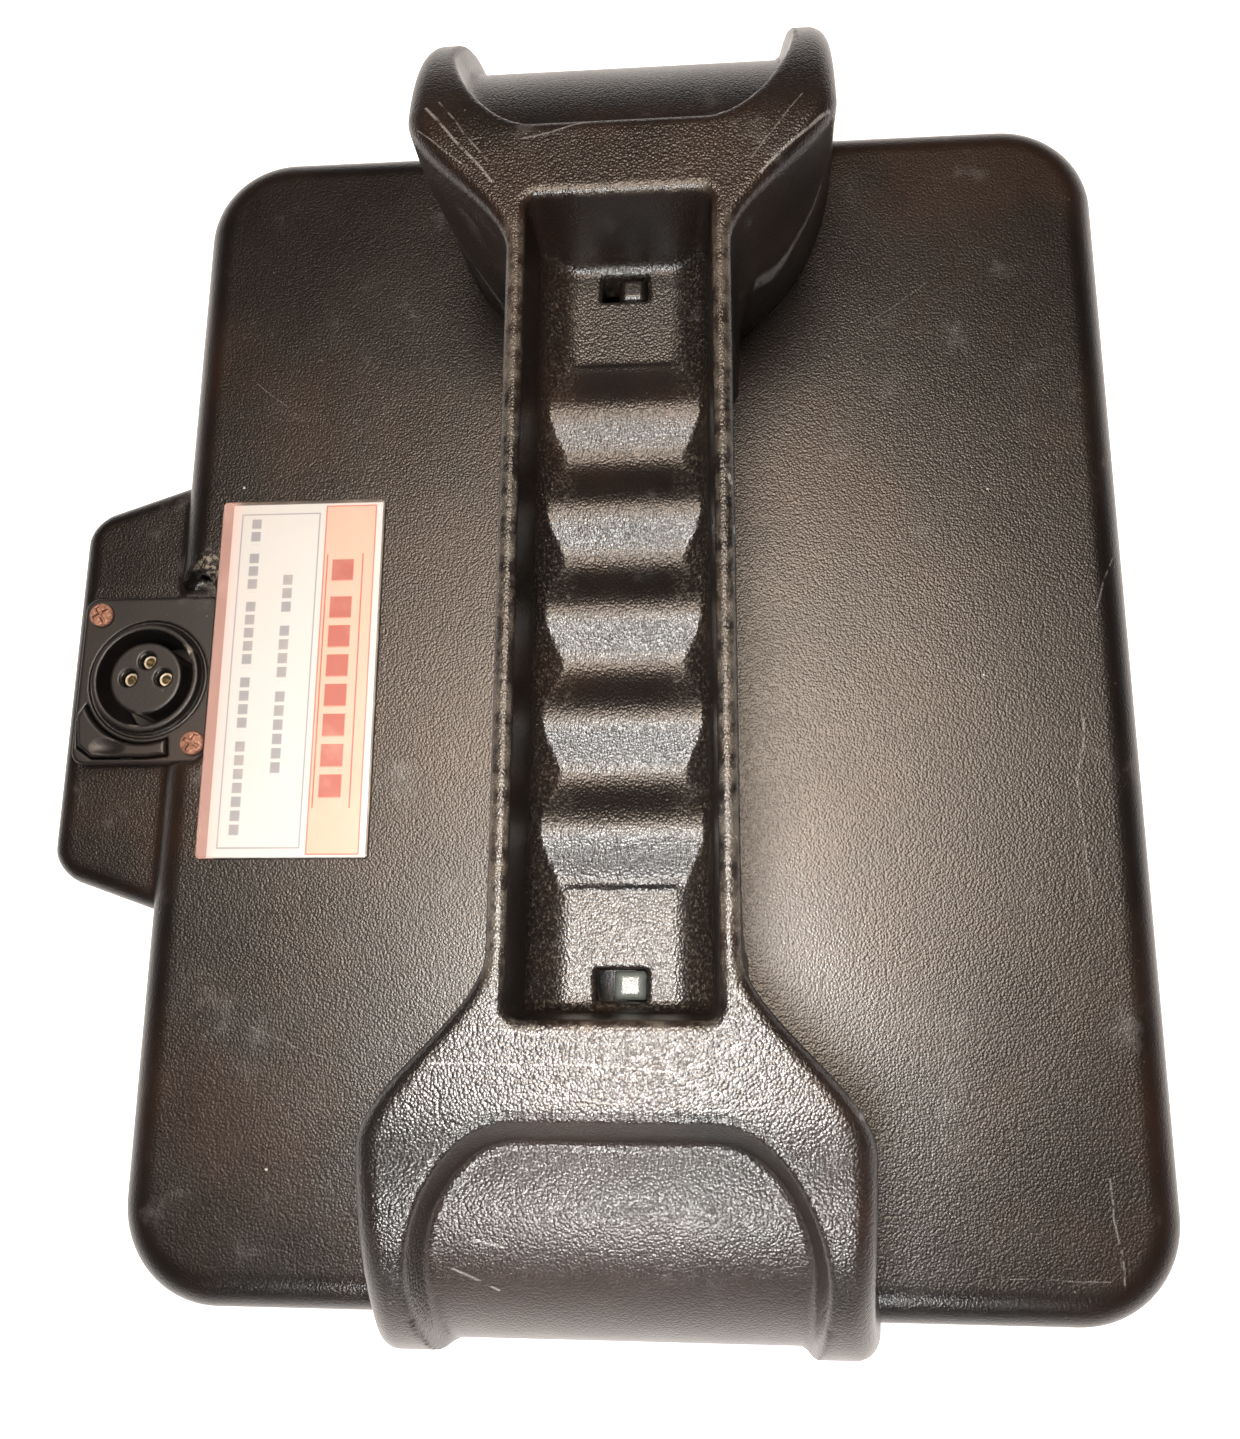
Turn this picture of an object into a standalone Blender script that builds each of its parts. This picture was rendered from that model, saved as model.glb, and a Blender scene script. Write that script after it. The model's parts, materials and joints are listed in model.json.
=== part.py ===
"""Carry-handle battery pack of a small mobility scooter: two 12 V lead-acid batteries in a plastic case.

The case stands on Z = 0 with its centre on the Z axis. Its length lies along Y, and the charging
socket's housing is on the -X side. Sizes below are in millimetres, and the meshes are in metres.
"""

import math

import bmesh
import bpy
from mathutils import Matrix, Vector

MM = 0.001
GAP = 0.3  # clearance between touching pieces

# Case
BASE_HALF_X, BASE_HALF_Y = 86.0, 106.5
TOP_HALF_X, TOP_HALF_Y = 83.4, 103.9
BASE_CORNER, TOP_CORNER = 18.0, 16.5
CASE_TOP = 124.0
SHOULDER = 6.0
SPLIT = 52.0  # parting line between tray and cover
WALL = 3.0
TONGUE = 3.0

# Housing for the charging socket, on the cover's side
BUMP_REACH = -104.6
BUMP_ROOT = -80.0
BUMP_TOP = 117.0
BUMP_MID_Y = -1.0
BUMP_ROOT_HALF, BUMP_NOSE_HALF = 40.5, 34.0

# Charging socket, a round three-contact socket with a 26 x 31 mm flange
SOCKET_X, SOCKET_Y = -88.3, 0.0
FLANGE_X, FLANGE_Y, FLANGE_T = 26.0, 31.0, 2.0
RING_R, CUP_R, CUP_DEPTH, BARREL_DEPTH = 9.9, 8.8, 11.0, 20.0
RING_PROUD = 1.5
INSERT_R = 6.6
CONTACT_CIRCLE, CONTACT_HOLE_R = 3.2, 1.6
FIXING_X, FIXING_Y = 9.5, 12.0
FIXING_CORNERS = ((-1, 1), (1, -1))
TAB_INNER_R = 12.0
LATCH_WELL_FLOOR = 114.8

# Handle
HANDLE_TOP = 170.0
CHANNEL_FLOOR = 152.0
CHANNEL_END = 58.0
CHANNEL_TOP_HALF, CHANNEL_FLAT_HALF, CHANNEL_FILLET = 13.0, 7.0, 6.0
WAVE_PITCH, WAVE_COUNT, WAVE_LOW, WAVE_RISE = 16.2, 5, 0.4, 2.1
HANDLE_WALL = 3.0
BAR_HALF = 16.3
FLARE_HALF = 32.4
FLARE_START, FLARE_END = 50.0, 74.5
HANDLE_END = 104.1
OPENING_HALF = 47.5
POCKET_HALF = 25.0
WINDOW_Y, WINDOW_HALF_X, WINDOW_HALF_Y = 54.0, 4.65, 2.5

# Batteries, 12 V 12 Ah
BATTERY_X, BATTERY_Y, BATTERY_H, LID_H = 151.0, 98.0, 95.0, 12.0
BATTERY_Z = 14.8
TERMINAL_X, TERMINAL_Y = 62.0, 13.0

# Docking connector in the base
DOCK_X, DOCK_Y = -42.0, 0.0
DOCK_HALF_X, DOCK_HALF_Y = 22.0, 9.0

SCREW_X, SCREW_ROWS = 79.3, (-68.0, 0.0, 68.0)
SCREW_R, SCREW_HOLE_R = 1.6, 1.95
HANDLE_SCREW_X, HANDLE_SCREW_Y = 18.0, 88.0
LABEL_X, LABEL_Y, LABEL_MIDDLE = 29.7, 64.3, (-59.75, -0.85)
LEAD_R, CHARGE_LEAD_R = 1.8, 1.2


def clear_scene():
    for obj in list(bpy.data.objects):
        bpy.data.objects.remove(obj, do_unlink=True)


def material(name, colour, roughness, metallic=0.0):
    made = bpy.data.materials.new(name)
    made.use_nodes = True
    shader = made.node_tree.nodes["Principled BSDF"]
    shader.inputs["Base Color"].default_value = (*colour, 1.0)
    shader.inputs["Roughness"].default_value = roughness
    shader.inputs["Metallic"].default_value = metallic
    return made


# ---------------------------------------------------------------- shape helpers


def lerp(a, b, t):
    return a + (b - a) * t


def smoothstep(t):
    t = min(max(t, 0.0), 1.0)
    return t * t * (3.0 - 2.0 * t)


def add_mesh(name, points, faces, finish, smooth_angle=40.0):
    """An object from points in millimetres, with its faces turned outwards."""
    mesh = bpy.data.meshes.new(name)
    mesh.from_pydata([Vector(p) * MM for p in points], [], faces)
    work = bmesh.new()
    work.from_mesh(mesh)
    bmesh.ops.recalc_face_normals(work, faces=work.faces)
    work.to_mesh(mesh)
    work.free()
    obj = bpy.data.objects.new(name, mesh)
    bpy.context.scene.collection.objects.link(obj)
    mesh.materials.append(finish)
    mesh.shade_smooth()
    mesh.set_sharp_from_angle(angle=math.radians(smooth_angle))
    return obj


def loft(name, rings, finish):
    """A closed solid through rings of equal point count, capped at both ends."""
    count = len(rings[0])
    points = [p for ring in rings for p in ring]
    faces = [tuple(range(count)), tuple(range(len(points) - count, len(points)))]
    for k in range(len(rings) - 1):
        for i in range(count):
            j = (i + 1) % count
            faces.append((k * count + i, k * count + j, (k + 1) * count + j, (k + 1) * count + i))
    return add_mesh(name, points, faces, finish)


def rounded_polygon(corners, segments=5):
    """Outline through corners given as (x, y, radius)."""
    outline = []
    total = len(corners)
    for i, (x, y, radius) in enumerate(corners):
        here = Vector((x, y))
        before = (Vector(corners[i - 1][:2]) - here).normalized()
        after = (Vector(corners[(i + 1) % total][:2]) - here).normalized()
        half = before.angle(after) / 2.0
        centre = here + (before + after).normalized() * (radius / math.sin(half))
        start = here + before * (radius / math.tan(half)) - centre
        sweep = math.pi - 2.0 * half
        turning = 1.0 if before.cross(after) < 0.0 else -1.0
        for k in range(segments + 1):
            a = turning * sweep * k / segments
            outline.append(centre + Matrix.Rotation(a, 2) @ start)
    return outline


def rounded_rectangle(half_x, half_y, radius, centre=(0.0, 0.0), segments=5):
    cx, cy = centre
    signs = ((1, 1), (-1, 1), (-1, -1), (1, -1))
    corners = [(cx + sx * half_x, cy + sy * half_y, radius) for sx, sy in signs]
    return rounded_polygon(corners, segments)


def at_height(outline, z):
    return [(p[0], p[1], z) for p in outline]


def prism_z(name, outline, low, high, finish):
    return loft(name, [at_height(outline, low), at_height(outline, high)], finish)


def prism_x(name, outline_yz, half_x, finish):
    return loft(name, [[(x, y, z) for y, z in outline_yz] for x in (-half_x, half_x)], finish)


def block(name, low, high, finish):
    outline = [(low[0], low[1]), (high[0], low[1]), (high[0], high[1]), (low[0], high[1])]
    return prism_z(name, outline, low[2], high[2], finish)


def turned(name, profile, centre, finish, sides=20):
    """A solid of revolution about a vertical line through centre, from (radius, z) points."""
    cx, cy = centre
    points = []
    rings = []
    for radius, z in profile:
        if radius == 0.0:
            rings.append([len(points)])
            points.append((cx, cy, z))
            continue
        rings.append(list(range(len(points), len(points) + sides)))
        for i in range(sides):
            a = 2.0 * math.pi * (i + 0.37) / sides
            points.append((cx + radius * math.cos(a), cy + radius * math.sin(a), z))
    faces = []
    for low, high in zip(rings, rings[1:]):
        for i in range(sides):
            j = (i + 1) % sides
            if len(low) == 1:
                faces.append((low[0], high[j], high[i]))
            elif len(high) == 1:
                faces.append((low[i], low[j], high[0]))
            else:
                faces.append((low[i], low[j], high[j], high[i]))
    return add_mesh(name, points, faces, finish)


def rod(name, centre, radius, low, high, finish, sides=16):
    return turned(name, [(0.0, low), (radius, low), (radius, high), (0.0, high)], centre, finish, sides)


def boolean(target, tool, operation="DIFFERENCE"):
    change = target.modifiers.new(tool.name, "BOOLEAN")
    change.operation = operation
    change.solver = "EXACT"
    change.object = tool
    tool.hide_render = True
    tool.display_type = "WIRE"


def cut(target, *tools):
    for tool in tools:
        boolean(target, tool)


def join(target, *tools):
    for tool in tools:
        boolean(target, tool, "UNION")


def smooth_path(points, steps):
    """Catmull-Rom curve through the points."""
    ends = [points[0]] + list(points) + [points[-1]]
    path = []
    for i in range(1, len(ends) - 2):
        p0, p1, p2, p3 = (Vector(p) for p in ends[i - 1:i + 3])
        for k in range(steps):
            t = k / steps
            path.append(0.5 * (2 * p1 + (p2 - p0) * t + (2 * p0 - 5 * p1 + 4 * p2 - p3) * t * t
                               + (3 * p1 - p0 - 3 * p2 + p3) * t ** 3))
    path.append(Vector(points[-1]))
    return path


def tube(name, path, radius, finish, resolution=2):
    curve = bpy.data.curves.new(name, "CURVE")
    curve.dimensions = "3D"
    curve.bevel_depth = radius * MM
    curve.bevel_resolution = resolution
    curve.use_fill_caps = True
    spline = curve.splines.new("POLY")
    spline.points.add(len(path) - 1)
    for point, place in zip(spline.points, path):
        point.co = (*(Vector(place) * MM), 1.0)
    obj = bpy.data.objects.new(name, curve)
    bpy.context.scene.collection.objects.link(obj)
    curve.materials.append(finish)
    return obj


# ---------------------------------------------------------------- case


def case_ring(z, inset=0.0):
    """Outline of the drafted case walls at height z."""
    t = z / (CASE_TOP - SHOULDER)
    half_x = lerp(BASE_HALF_X, TOP_HALF_X, t) - inset
    half_y = lerp(BASE_HALF_Y, TOP_HALF_Y, t) - inset
    radius = max(lerp(BASE_CORNER, TOP_CORNER, t) - inset, 1.0)
    return at_height(rounded_rectangle(half_x, half_y, radius), z)


def shoulder_rings(top, radius, extra=0.0, steps=4):
    """Rings of the rounded edge between walls and top, or of its offset."""
    rings = []
    for k in range(steps + 1):
        a = math.pi / 2.0 * k / steps
        z = top - radius + radius * math.sin(a)
        ring = case_ring(top - radius, extra + radius * (1.0 - math.cos(a)))
        rings.append([(x, y, z) for x, y, _ in ring])
    return rings


def base_tray(finish):
    """Open tray with a tongue round its rim, ribs under the batteries and six screw columns."""
    edge = 1.5
    outer = [case_ring(0.0, edge), case_ring(0.45, 0.45), case_ring(edge)]
    rim = [case_ring(SPLIT - GAP / 2.0), case_ring(SPLIT - GAP / 2.0, 1.6), case_ring(SPLIT + TONGUE, 1.6)]
    inner = [case_ring(SPLIT + TONGUE, WALL), case_ring(WALL, WALL)]
    tray = loft("base_tray", outer + rim + inner, finish)
    for i, y in enumerate((-84.0, -28.0, 28.0, 84.0)):
        join(tray, block(f"rib_{i}", (-70.0, y - 1.5, 2.0), (70.0, y + 1.5, 12.5), finish))
    for side in (-1, 1):
        for i, y in enumerate(SCREW_ROWS):
            tag = f"{'left' if side < 0 else 'right'}_{i}"
            near, far = sorted((side * 73.6, side * 84.2))
            foot = block(f"column_foot_{tag}", (near, y - 4.6, 2.0), (far, y + 4.6, 12.5), finish)
            near, far = sorted((side * 76.0, side * 83.9))
            column = block(f"column_{tag}", (near, y - 4.0, 2.2), (far, y + 4.0, SPLIT - 1.2), finish)
            near, far = sorted((side * 76.4, side * 82.7))
            low, high = SPLIT - 2.0, SPLIT + TONGUE - 0.2
            neck = block(f"column_neck_{tag}", (near, y - 3.6, low), (far, y + 3.6, high), finish)
            join(tray, foot, column, neck)
    add_dock_opening(tray, finish)
    for side in (-1, 1):
        for i, y in enumerate(SCREW_ROWS):
            tag = f"{'left' if side < 0 else 'right'}_{i}"
            above = SPLIT + 9.0
            head_recess = [(0.0, -1.0), (3.6, -1.0), (3.6, 7.0)]
            profile = head_recess + [(SCREW_HOLE_R, 7.0), (SCREW_HOLE_R, above), (0.0, above)]
            cut(tray, turned(f"column_hole_{tag}", profile, (side * SCREW_X, y), finish, 14))
    return tray


def add_dock_opening(tray, finish):
    """Raised pad round the opening for the docking connector, and its screw holes."""
    half_x, half_y = DOCK_HALF_X + 8.0, DOCK_HALF_Y + 3.0
    near, far = (DOCK_X - half_x, DOCK_Y - half_y, 2.0), (DOCK_X + half_x, DOCK_Y + half_y, 5.0)
    join(tray, block("dock_pad", near, far, finish))
    outline = rounded_rectangle(DOCK_HALF_X, DOCK_HALF_Y, 3.0, (DOCK_X, DOCK_Y))
    cut(tray, prism_z("dock_opening", outline, -1.0, 9.0, finish))
    for side in (-1, 1):
        place = (DOCK_X + side * (DOCK_HALF_X + 4.0), DOCK_Y)
        cut(tray, rod(f"dock_hole_{side + 1}", place, 1.5, 1.2, 9.0, finish, 12))


def bump_ring(z, reach, inset=0.0, root=BUMP_ROOT):
    """Outline of the socket housing: nearly square sides and a rounded nose."""
    corner = max(7.0 - inset, 2.0)
    t = (reach - BUMP_ROOT) / (BUMP_REACH - BUMP_ROOT)
    nose = lerp(BUMP_ROOT_HALF, BUMP_NOSE_HALF, t) - inset
    corners = [
        (root, BUMP_MID_Y + BUMP_ROOT_HALF - inset, 0.5),
        (reach + inset, BUMP_MID_Y + nose, corner),
        (reach + inset, BUMP_MID_Y - nose, corner),
        (root, BUMP_MID_Y - BUMP_ROOT_HALF + inset, 0.5),
    ]
    return at_height(rounded_polygon(corners, 4), z)


def bump_solid(name, inset, root, finish):
    """Socket housing, or its hollow when inset is the wall thickness."""
    low, edge = 60.0, 3.5
    rings = [bump_ring(low + inset, -94.0, inset, root), bump_ring(low + 18.0, BUMP_REACH, inset, root)]
    for k in range(4):
        a = math.pi / 2.0 * k / 3
        z = BUMP_TOP - inset - edge + edge * math.sin(a)
        rings.append(bump_ring(z, BUMP_REACH, inset + edge * (1.0 - math.cos(a)), root))
    return loft(name, rings, finish)


def top_cover(finish):
    """Cover with the socket housing, its pocket, screw bosses and two catch posts."""
    cover = loft("top_cover", [case_ring(SPLIT + GAP / 2.0)] + shoulder_rings(CASE_TOP, SHOULDER), finish)
    join(cover, bump_solid("bump_shell", 0.0, BUMP_ROOT, finish))
    rebate = [case_ring(SPLIT - 5.0, 1.3), case_ring(SPLIT + TONGUE + GAP, 1.3)]
    cavity = [case_ring(SPLIT + TONGUE + GAP, WALL)] + shoulder_rings(CASE_TOP - WALL, 3.5, WALL, 3)
    cut(cover, loft("cover_cavity", rebate + cavity, finish))
    cut(cover, bump_solid("bump_hollow", WALL, -74.0, finish))
    pocket = rounded_rectangle(13.4, 16.6, 2.5, (SOCKET_X - 0.3, SOCKET_Y + 0.6))
    seat = block("pocket_seat", (-85.0, -18.6, 112.5), (-72.8, 19.6, 122.5), finish)
    join(cover, seat)
    cut(cover, prism_z("flange_pocket", pocket, BUMP_TOP - 0.1, CASE_TOP + 4.0, finish))
    cut(cover, rod("pocket_relief", (-79.4, 15.6), 3.4, BUMP_TOP + 0.6, CASE_TOP + 4.0, finish, 20))
    cut(cover, rod("barrel_hole", (SOCKET_X, SOCKET_Y), RING_R + 0.4, 100.0, CASE_TOP + 3.0, finish, 32))
    for i, (sx, sy) in enumerate(FIXING_CORNERS):
        place = (SOCKET_X + sx * FIXING_X, SOCKET_Y + sy * FIXING_Y)
        cut(cover, rod(f"socket_fixing_{i}", place, 1.6, 100.0, CASE_TOP + 3.0, finish, 12))
    cut(cover, prism_z("latch_well", latch_outline(0.35), LATCH_WELL_FLOOR, CASE_TOP, finish))
    add_cover_bosses(cover, finish)
    for i, y in enumerate((-WINDOW_Y, WINDOW_Y)):
        near, far = (-1.7, y - 2.1, CASE_TOP - 1.0), (4.3, y + 2.1, CHANNEL_FLOOR - 0.8)
        join(cover, block(f"catch_post_{i}", near, far, finish))
    return cover


def add_cover_bosses(cover, finish):
    for side in (-1, 1):
        for i, y in enumerate(SCREW_ROWS):
            reach = 87.0 if side < 0 and y == 0.0 else 83.9
            far = side * reach
            tag = f"{'left' if side < 0 else 'right'}_{i}"
            low, high = sorted((side * 76.0, far))
            seat = SPLIT + TONGUE + GAP
            join(cover, block(f"cover_boss_{tag}", (low, y - 4.0, seat), (high, y + 4.0, 74.0), finish))
            place = (side * SCREW_X, y)
            cut(cover, rod(f"cover_hole_{tag}", place, SCREW_HOLE_R, SPLIT - 4.0, 70.0, finish, 12))
    for sx in (-1, 1):
        for sy in (-1, 1):
            place = (sx * HANDLE_SCREW_X, sy * HANDLE_SCREW_Y)
            cut(cover, rod(f"handle_hole_{sx + 1}_{sy + 1}", place, SCREW_HOLE_R, 118.0, 127.0, finish, 12))


# ---------------------------------------------------------------- handle


def handle_top(y):
    """Height of the handle's skin: level, then a quarter of an ellipse down to the end."""
    start, low = 68.3, 135.9
    if abs(y) <= start:
        return HANDLE_TOP
    t = min((abs(y) - start) / (HANDLE_END - start), 1.0)
    return low + (HANDLE_TOP - low) * math.sqrt(max(1.0 - t * t, 0.0))


def handle_half_width(y, z):
    """Half width of the handle, from the foot on the cover up to the rim."""
    d = abs(y)
    rim = lerp(BAR_HALF, FLARE_HALF, smoothstep((d - FLARE_START) / (FLARE_END - FLARE_START)))
    foot = max(37.4 - 13.0 * math.exp(-(d - 66.0) / 14.0), BAR_HALF + 1.7)
    t = smoothstep((z - CASE_TOP) / (HANDLE_TOP - 8.0 - CASE_TOP))
    return lerp(foot, rim, t)


def handle_section(y, low=112.0):
    top = handle_top(y)
    levels = [lerp(low, top - 2.0, t) for t in (0.0, 0.25, 0.45, 0.62, 0.8, 1.0)]
    right = [(handle_half_width(y, z), z) for z in levels]
    edge = handle_half_width(y, top)
    right += [(edge - 0.6, top - 0.6), (edge - 2.0, top)]
    return [(x, y, z) for x, z in right] + [(-x, y, z) for x, z in reversed(right)]


def handle_stations():
    flat = [0.0, 25.0, 50.0, 53.0, 56.0, 59.0, 62.0, 65.0, 68.3]
    angles = (9, 18, 27, 36, 45, 54, 64, 76, 90)
    curved = [68.3 + (HANDLE_END - 68.3) * math.sin(math.radians(a)) for a in angles]
    ahead = flat + curved
    return [-y for y in reversed(ahead[1:])] + ahead


def wave(y):
    """Finger waves of the grip: five soft humps, whose valleys stand a little above the floor."""
    if abs(y) >= WAVE_PITCH * WAVE_COUNT / 2.0:
        return 0.0
    return WAVE_LOW + WAVE_RISE * (0.5 + 0.5 * math.cos(2.0 * math.pi * y / WAVE_PITCH))


def channel_tool(finish):
    """Solid that cuts the open channel, with the waves on its underside."""
    half = [(3.5, CHANNEL_FLOOR)]
    for degrees in (0, 25, 50, 75):
        a = math.radians(degrees)
        x = CHANNEL_FLAT_HALF + CHANNEL_FILLET * math.sin(a)
        half.append((x, CHANNEL_FLOOR + CHANNEL_FILLET * (1.0 - math.cos(a))))
    half.append((CHANNEL_TOP_HALF, CHANNEL_FLOOR + CHANNEL_FILLET + 1.0))
    half.append((CHANNEL_TOP_HALF + 0.7, HANDLE_TOP + 5.0))
    section = half + [(-x, z) for x, z in reversed(half)]
    span = WAVE_PITCH * WAVE_COUNT / 2.0
    steps = WAVE_COUNT * 6
    waves = [-span + 2.0 * span * k / steps for k in range(steps + 1)]
    rings = []
    for y in [-CHANNEL_END, -span - 6.0] + waves + [span + 6.0, CHANNEL_END]:
        lift = CHANNEL_FLOOR + wave(y)
        rings.append([(x, y, max(z, lift)) for x, z in section])
    return loft("channel", rings, finish)


def opening_tool(finish):
    """Solid that cuts the hand opening, with finger grooves along its roof."""
    roof = CHANNEL_FLOOR - HANDLE_WALL
    corner = 9.0
    outline = [(-OPENING_HALF - 1.5, 110.0), (-OPENING_HALF, roof - corner)]
    for k in range(1, 4):
        a = math.pi / 2.0 * k / 4
        outline.append((-OPENING_HALF + corner * (1.0 - math.cos(a)), roof - corner + corner * math.sin(a)))
    steps = WAVE_COUNT * 6
    reach = OPENING_HALF - corner
    for k in range(steps + 1):
        y = -reach + 2.0 * reach * k / steps
        outline.append((y, roof + wave(y) * smoothstep((reach - abs(y)) / 3.0)))
    for k in range(3, 0, -1):
        a = math.pi / 2.0 * k / 4
        outline.append((OPENING_HALF - corner * (1.0 - math.cos(a)), roof - corner + corner * math.sin(a)))
    outline += [(OPENING_HALF, roof - corner), (OPENING_HALF + 1.5, 110.0)]
    return prism_x("hand_opening", outline, 60.0, finish)


def pocket_tool(name, side, finish):
    """Solid that cuts the arched finger pocket in the handle's end."""
    centre_y, centre_z, radius_y, radius_z = 70.2, 128.5, HANDLE_END - 70.2, 34.2
    corner, last = 30.0, 84.0
    rings = []
    for k in range(13):
        angle = last * k / 12
        beyond = max(angle - (last - corner), 0.0) / corner
        width = POCKET_HALF - 12.5 * (1.0 - math.sqrt(max(1.0 - beyond * beyond, 0.0)))
        ring = []
        for reach, extra in ((0.0, 0.0), (14.0, 4.9)):
            y = centre_y + (radius_y + reach) * math.cos(math.radians(angle))
            z = centre_z + (radius_z + reach) * math.sin(math.radians(angle))
            ring.append([(-width - extra, side * y, z), (width + extra, side * y, z)])
        rings.append([ring[0][0], ring[0][1], ring[1][1], ring[1][0]])
    return loft(name, rings, finish)


def leg_hollow(name, side, finish):
    """Hollow of one leg, open at the foot, inside the skin and the pocket."""
    rings = []
    levels = (110.0, 124.0, 134.0, 141.0, 146.0)
    for k, z in enumerate(levels):
        rise = max(z - 128.5, 0.0) / 31.2
        far = 70.2 + (HANDLE_END - 70.2 - WALL) * math.sqrt(max(1.0 - rise * rise, 0.0))
        near = lerp(OPENING_HALF + HANDLE_WALL + 1.5, OPENING_HALF + HANDLE_WALL, k / (len(levels) - 1))
        ring = []
        steps = 5
        for i in range(steps + 1):
            y = lerp(near, far, i / steps)
            ring.append((handle_half_width(y, z) - HANDLE_WALL, side * y, z))
        rings.append(ring + [(-x, y, zz) for x, y, zz in reversed(ring)])
    return loft(name, rings, finish)


def handle(finish):
    body = loft("handle", [handle_section(y) for y in handle_stations()], finish)
    cut(body, opening_tool(finish), channel_tool(finish))
    for side in (-1, 1):
        tag = "front" if side < 0 else "rear"
        cut(body, pocket_tool(f"pocket_{tag}", side, finish), leg_hollow(f"hollow_{tag}", side, finish))
        for sx in (-1, 1):
            place = (sx * HANDLE_SCREW_X, side * HANDLE_SCREW_Y)
            join(body, rod(f"handle_boss_{tag}_{sx + 1}", place, 4.2, 120.0, 152.0, finish, 14))
            cut(body, rod(f"handle_pilot_{tag}_{sx + 1}", place, SCREW_HOLE_R, 110.0, 138.5, finish, 12))
        near = (-WINDOW_HALF_X, side * WINDOW_Y - WINDOW_HALF_Y, 140.0)
        far = (WINDOW_HALF_X, side * WINDOW_Y + WINDOW_HALF_Y, CHANNEL_FLOOR + 2.0)
        cut(body, block(f"window_{tag}", near, far, finish))
    seat = [case_ring(90.0, -GAP)]
    for ring in shoulder_rings(CASE_TOP, SHOULDER, -GAP):
        seat.append([(x, y, z + GAP) for x, y, z in ring])
    cut(body, loft("cover_clearance", seat, finish))
    return body


# ---------------------------------------------------------------- charging socket


def latch_outline(grow=0.0):
    """Plan of the release tab: a crescent that follows the ring."""
    inner = TAB_INNER_R - grow
    outline = []
    for k in range(9):
        a = math.radians(lerp(203.0 - grow * 3.0, 292.0 + grow * 3.0, k / 8))
        outline.append((SOCKET_X + inner * math.cos(a), SOCKET_Y + inner * math.sin(a)))
    low = SOCKET_Y - 14.2 - grow
    outline.append((SOCKET_X + 4.6 + grow, low + 0.4))
    outline.append((SOCKET_X + 1.0, low))
    outline.append((SOCKET_X - 9.0, low))
    outline.append((SOCKET_X - 11.6 - grow, low + 2.0))
    outline.append((SOCKET_X - 12.2 - grow, SOCKET_Y - 7.0))
    return outline


def charge_socket(plastic, dark, metal, steel):
    """Shell with flange and cup, insert with its contacts, fixing screws, release tab and its spring."""
    seat = BUMP_TOP + GAP
    top = seat + FLANGE_T
    floor = top - CUP_DEPTH
    bottom = seat - BARREL_DEPTH
    place = (SOCKET_X, SOCKET_Y)
    rim = top + RING_PROUD
    profile = [(0.0, bottom), (RING_R, bottom), (RING_R, rim - 0.6), (RING_R - 0.6, rim),
               (CUP_R + 0.6, rim), (CUP_R, rim - 0.6), (CUP_R, floor), (0.0, floor)]
    shell = turned("charge_socket_shell", profile, place, plastic, 32)
    outline = rounded_rectangle(FLANGE_X / 2, FLANGE_Y / 2, 2.5, place, 3)
    flange = prism_z("socket_flange", outline, seat, top, plastic)
    cut(flange, rod("flange_bore", place, RING_R - 0.4, seat - 2.0, top + 4.0, plastic, 32))
    join(shell, flange)
    cut(shell, prism_z("latch_slot", latch_outline(0.35), seat - 2.0, top + 3.0, plastic))
    for i, (sx, sy) in enumerate(FIXING_CORNERS):
        hole = (SOCKET_X + sx * FIXING_X, SOCKET_Y + sy * FIXING_Y)
        cut(shell, rod(f"flange_hole_{i}", hole, 1.8, seat - 2.0, top + 2.0, plastic, 12))
        slotted_screw(f"socket_screw_{i + 1}", hole, (1.3, seat - 9.0), (2.2, top + GAP, top + 1.5), steel)
    face = top + 1.0
    low = floor + GAP
    body = [(0.0, low), (INSERT_R, low), (INSERT_R, face - 0.5), (INSERT_R - 0.5, face), (0.0, face)]
    insert = turned("socket_insert", body, place, dark, 28)
    for i in range(3):
        a = math.pi / 2.0 * i
        hole = (SOCKET_X + CONTACT_CIRCLE * math.cos(a), SOCKET_Y + CONTACT_CIRCLE * math.sin(a))
        cut(insert, rod(f"insert_hole_{i}", hole, CONTACT_HOLE_R, floor - 2.0, top + 3.0, dark, 12))
        cut(shell, rod(f"tail_hole_{i}", hole, CONTACT_HOLE_R, bottom - 2.0, floor + 1.0, plastic, 12))
        contact_pin(f"socket_contact_{i + 1}", hole, bottom - 3.0, top - 0.6, metal)
    prism_z("latch_tab", latch_outline(), seat + 0.6, top + 0.7, plastic)
    latch_spring(seat + 0.6, steel)


def contact_pin(name, place, low, high, metal):
    """Hollow contact that takes the charger's pin."""
    outer, bore, floor = 1.25, 0.85, high - 7.4
    profile = [(0.0, low), (outer, low), (outer, high), (bore, high), (bore, floor), (0.0, floor)]
    turned(name, profile, place, metal, 12)


def latch_spring(tab_low, steel):
    """Small coil that lifts the release tab."""
    turns, coil, wire = 2.25, 1.2, 0.2
    low, high = LATCH_WELL_FLOOR + GAP + wire, tab_low - GAP - wire
    path = []
    steps = 24
    for k in range(steps + 1):
        a = 2.0 * math.pi * turns * k / steps
        x = SOCKET_X - 4.0 + coil * math.cos(a)
        y = SOCKET_Y - 12.9 + coil * math.sin(a)
        path.append((x, y, lerp(low, high, k / steps)))
    tube("latch_spring", path, wire, steel, 1)


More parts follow.
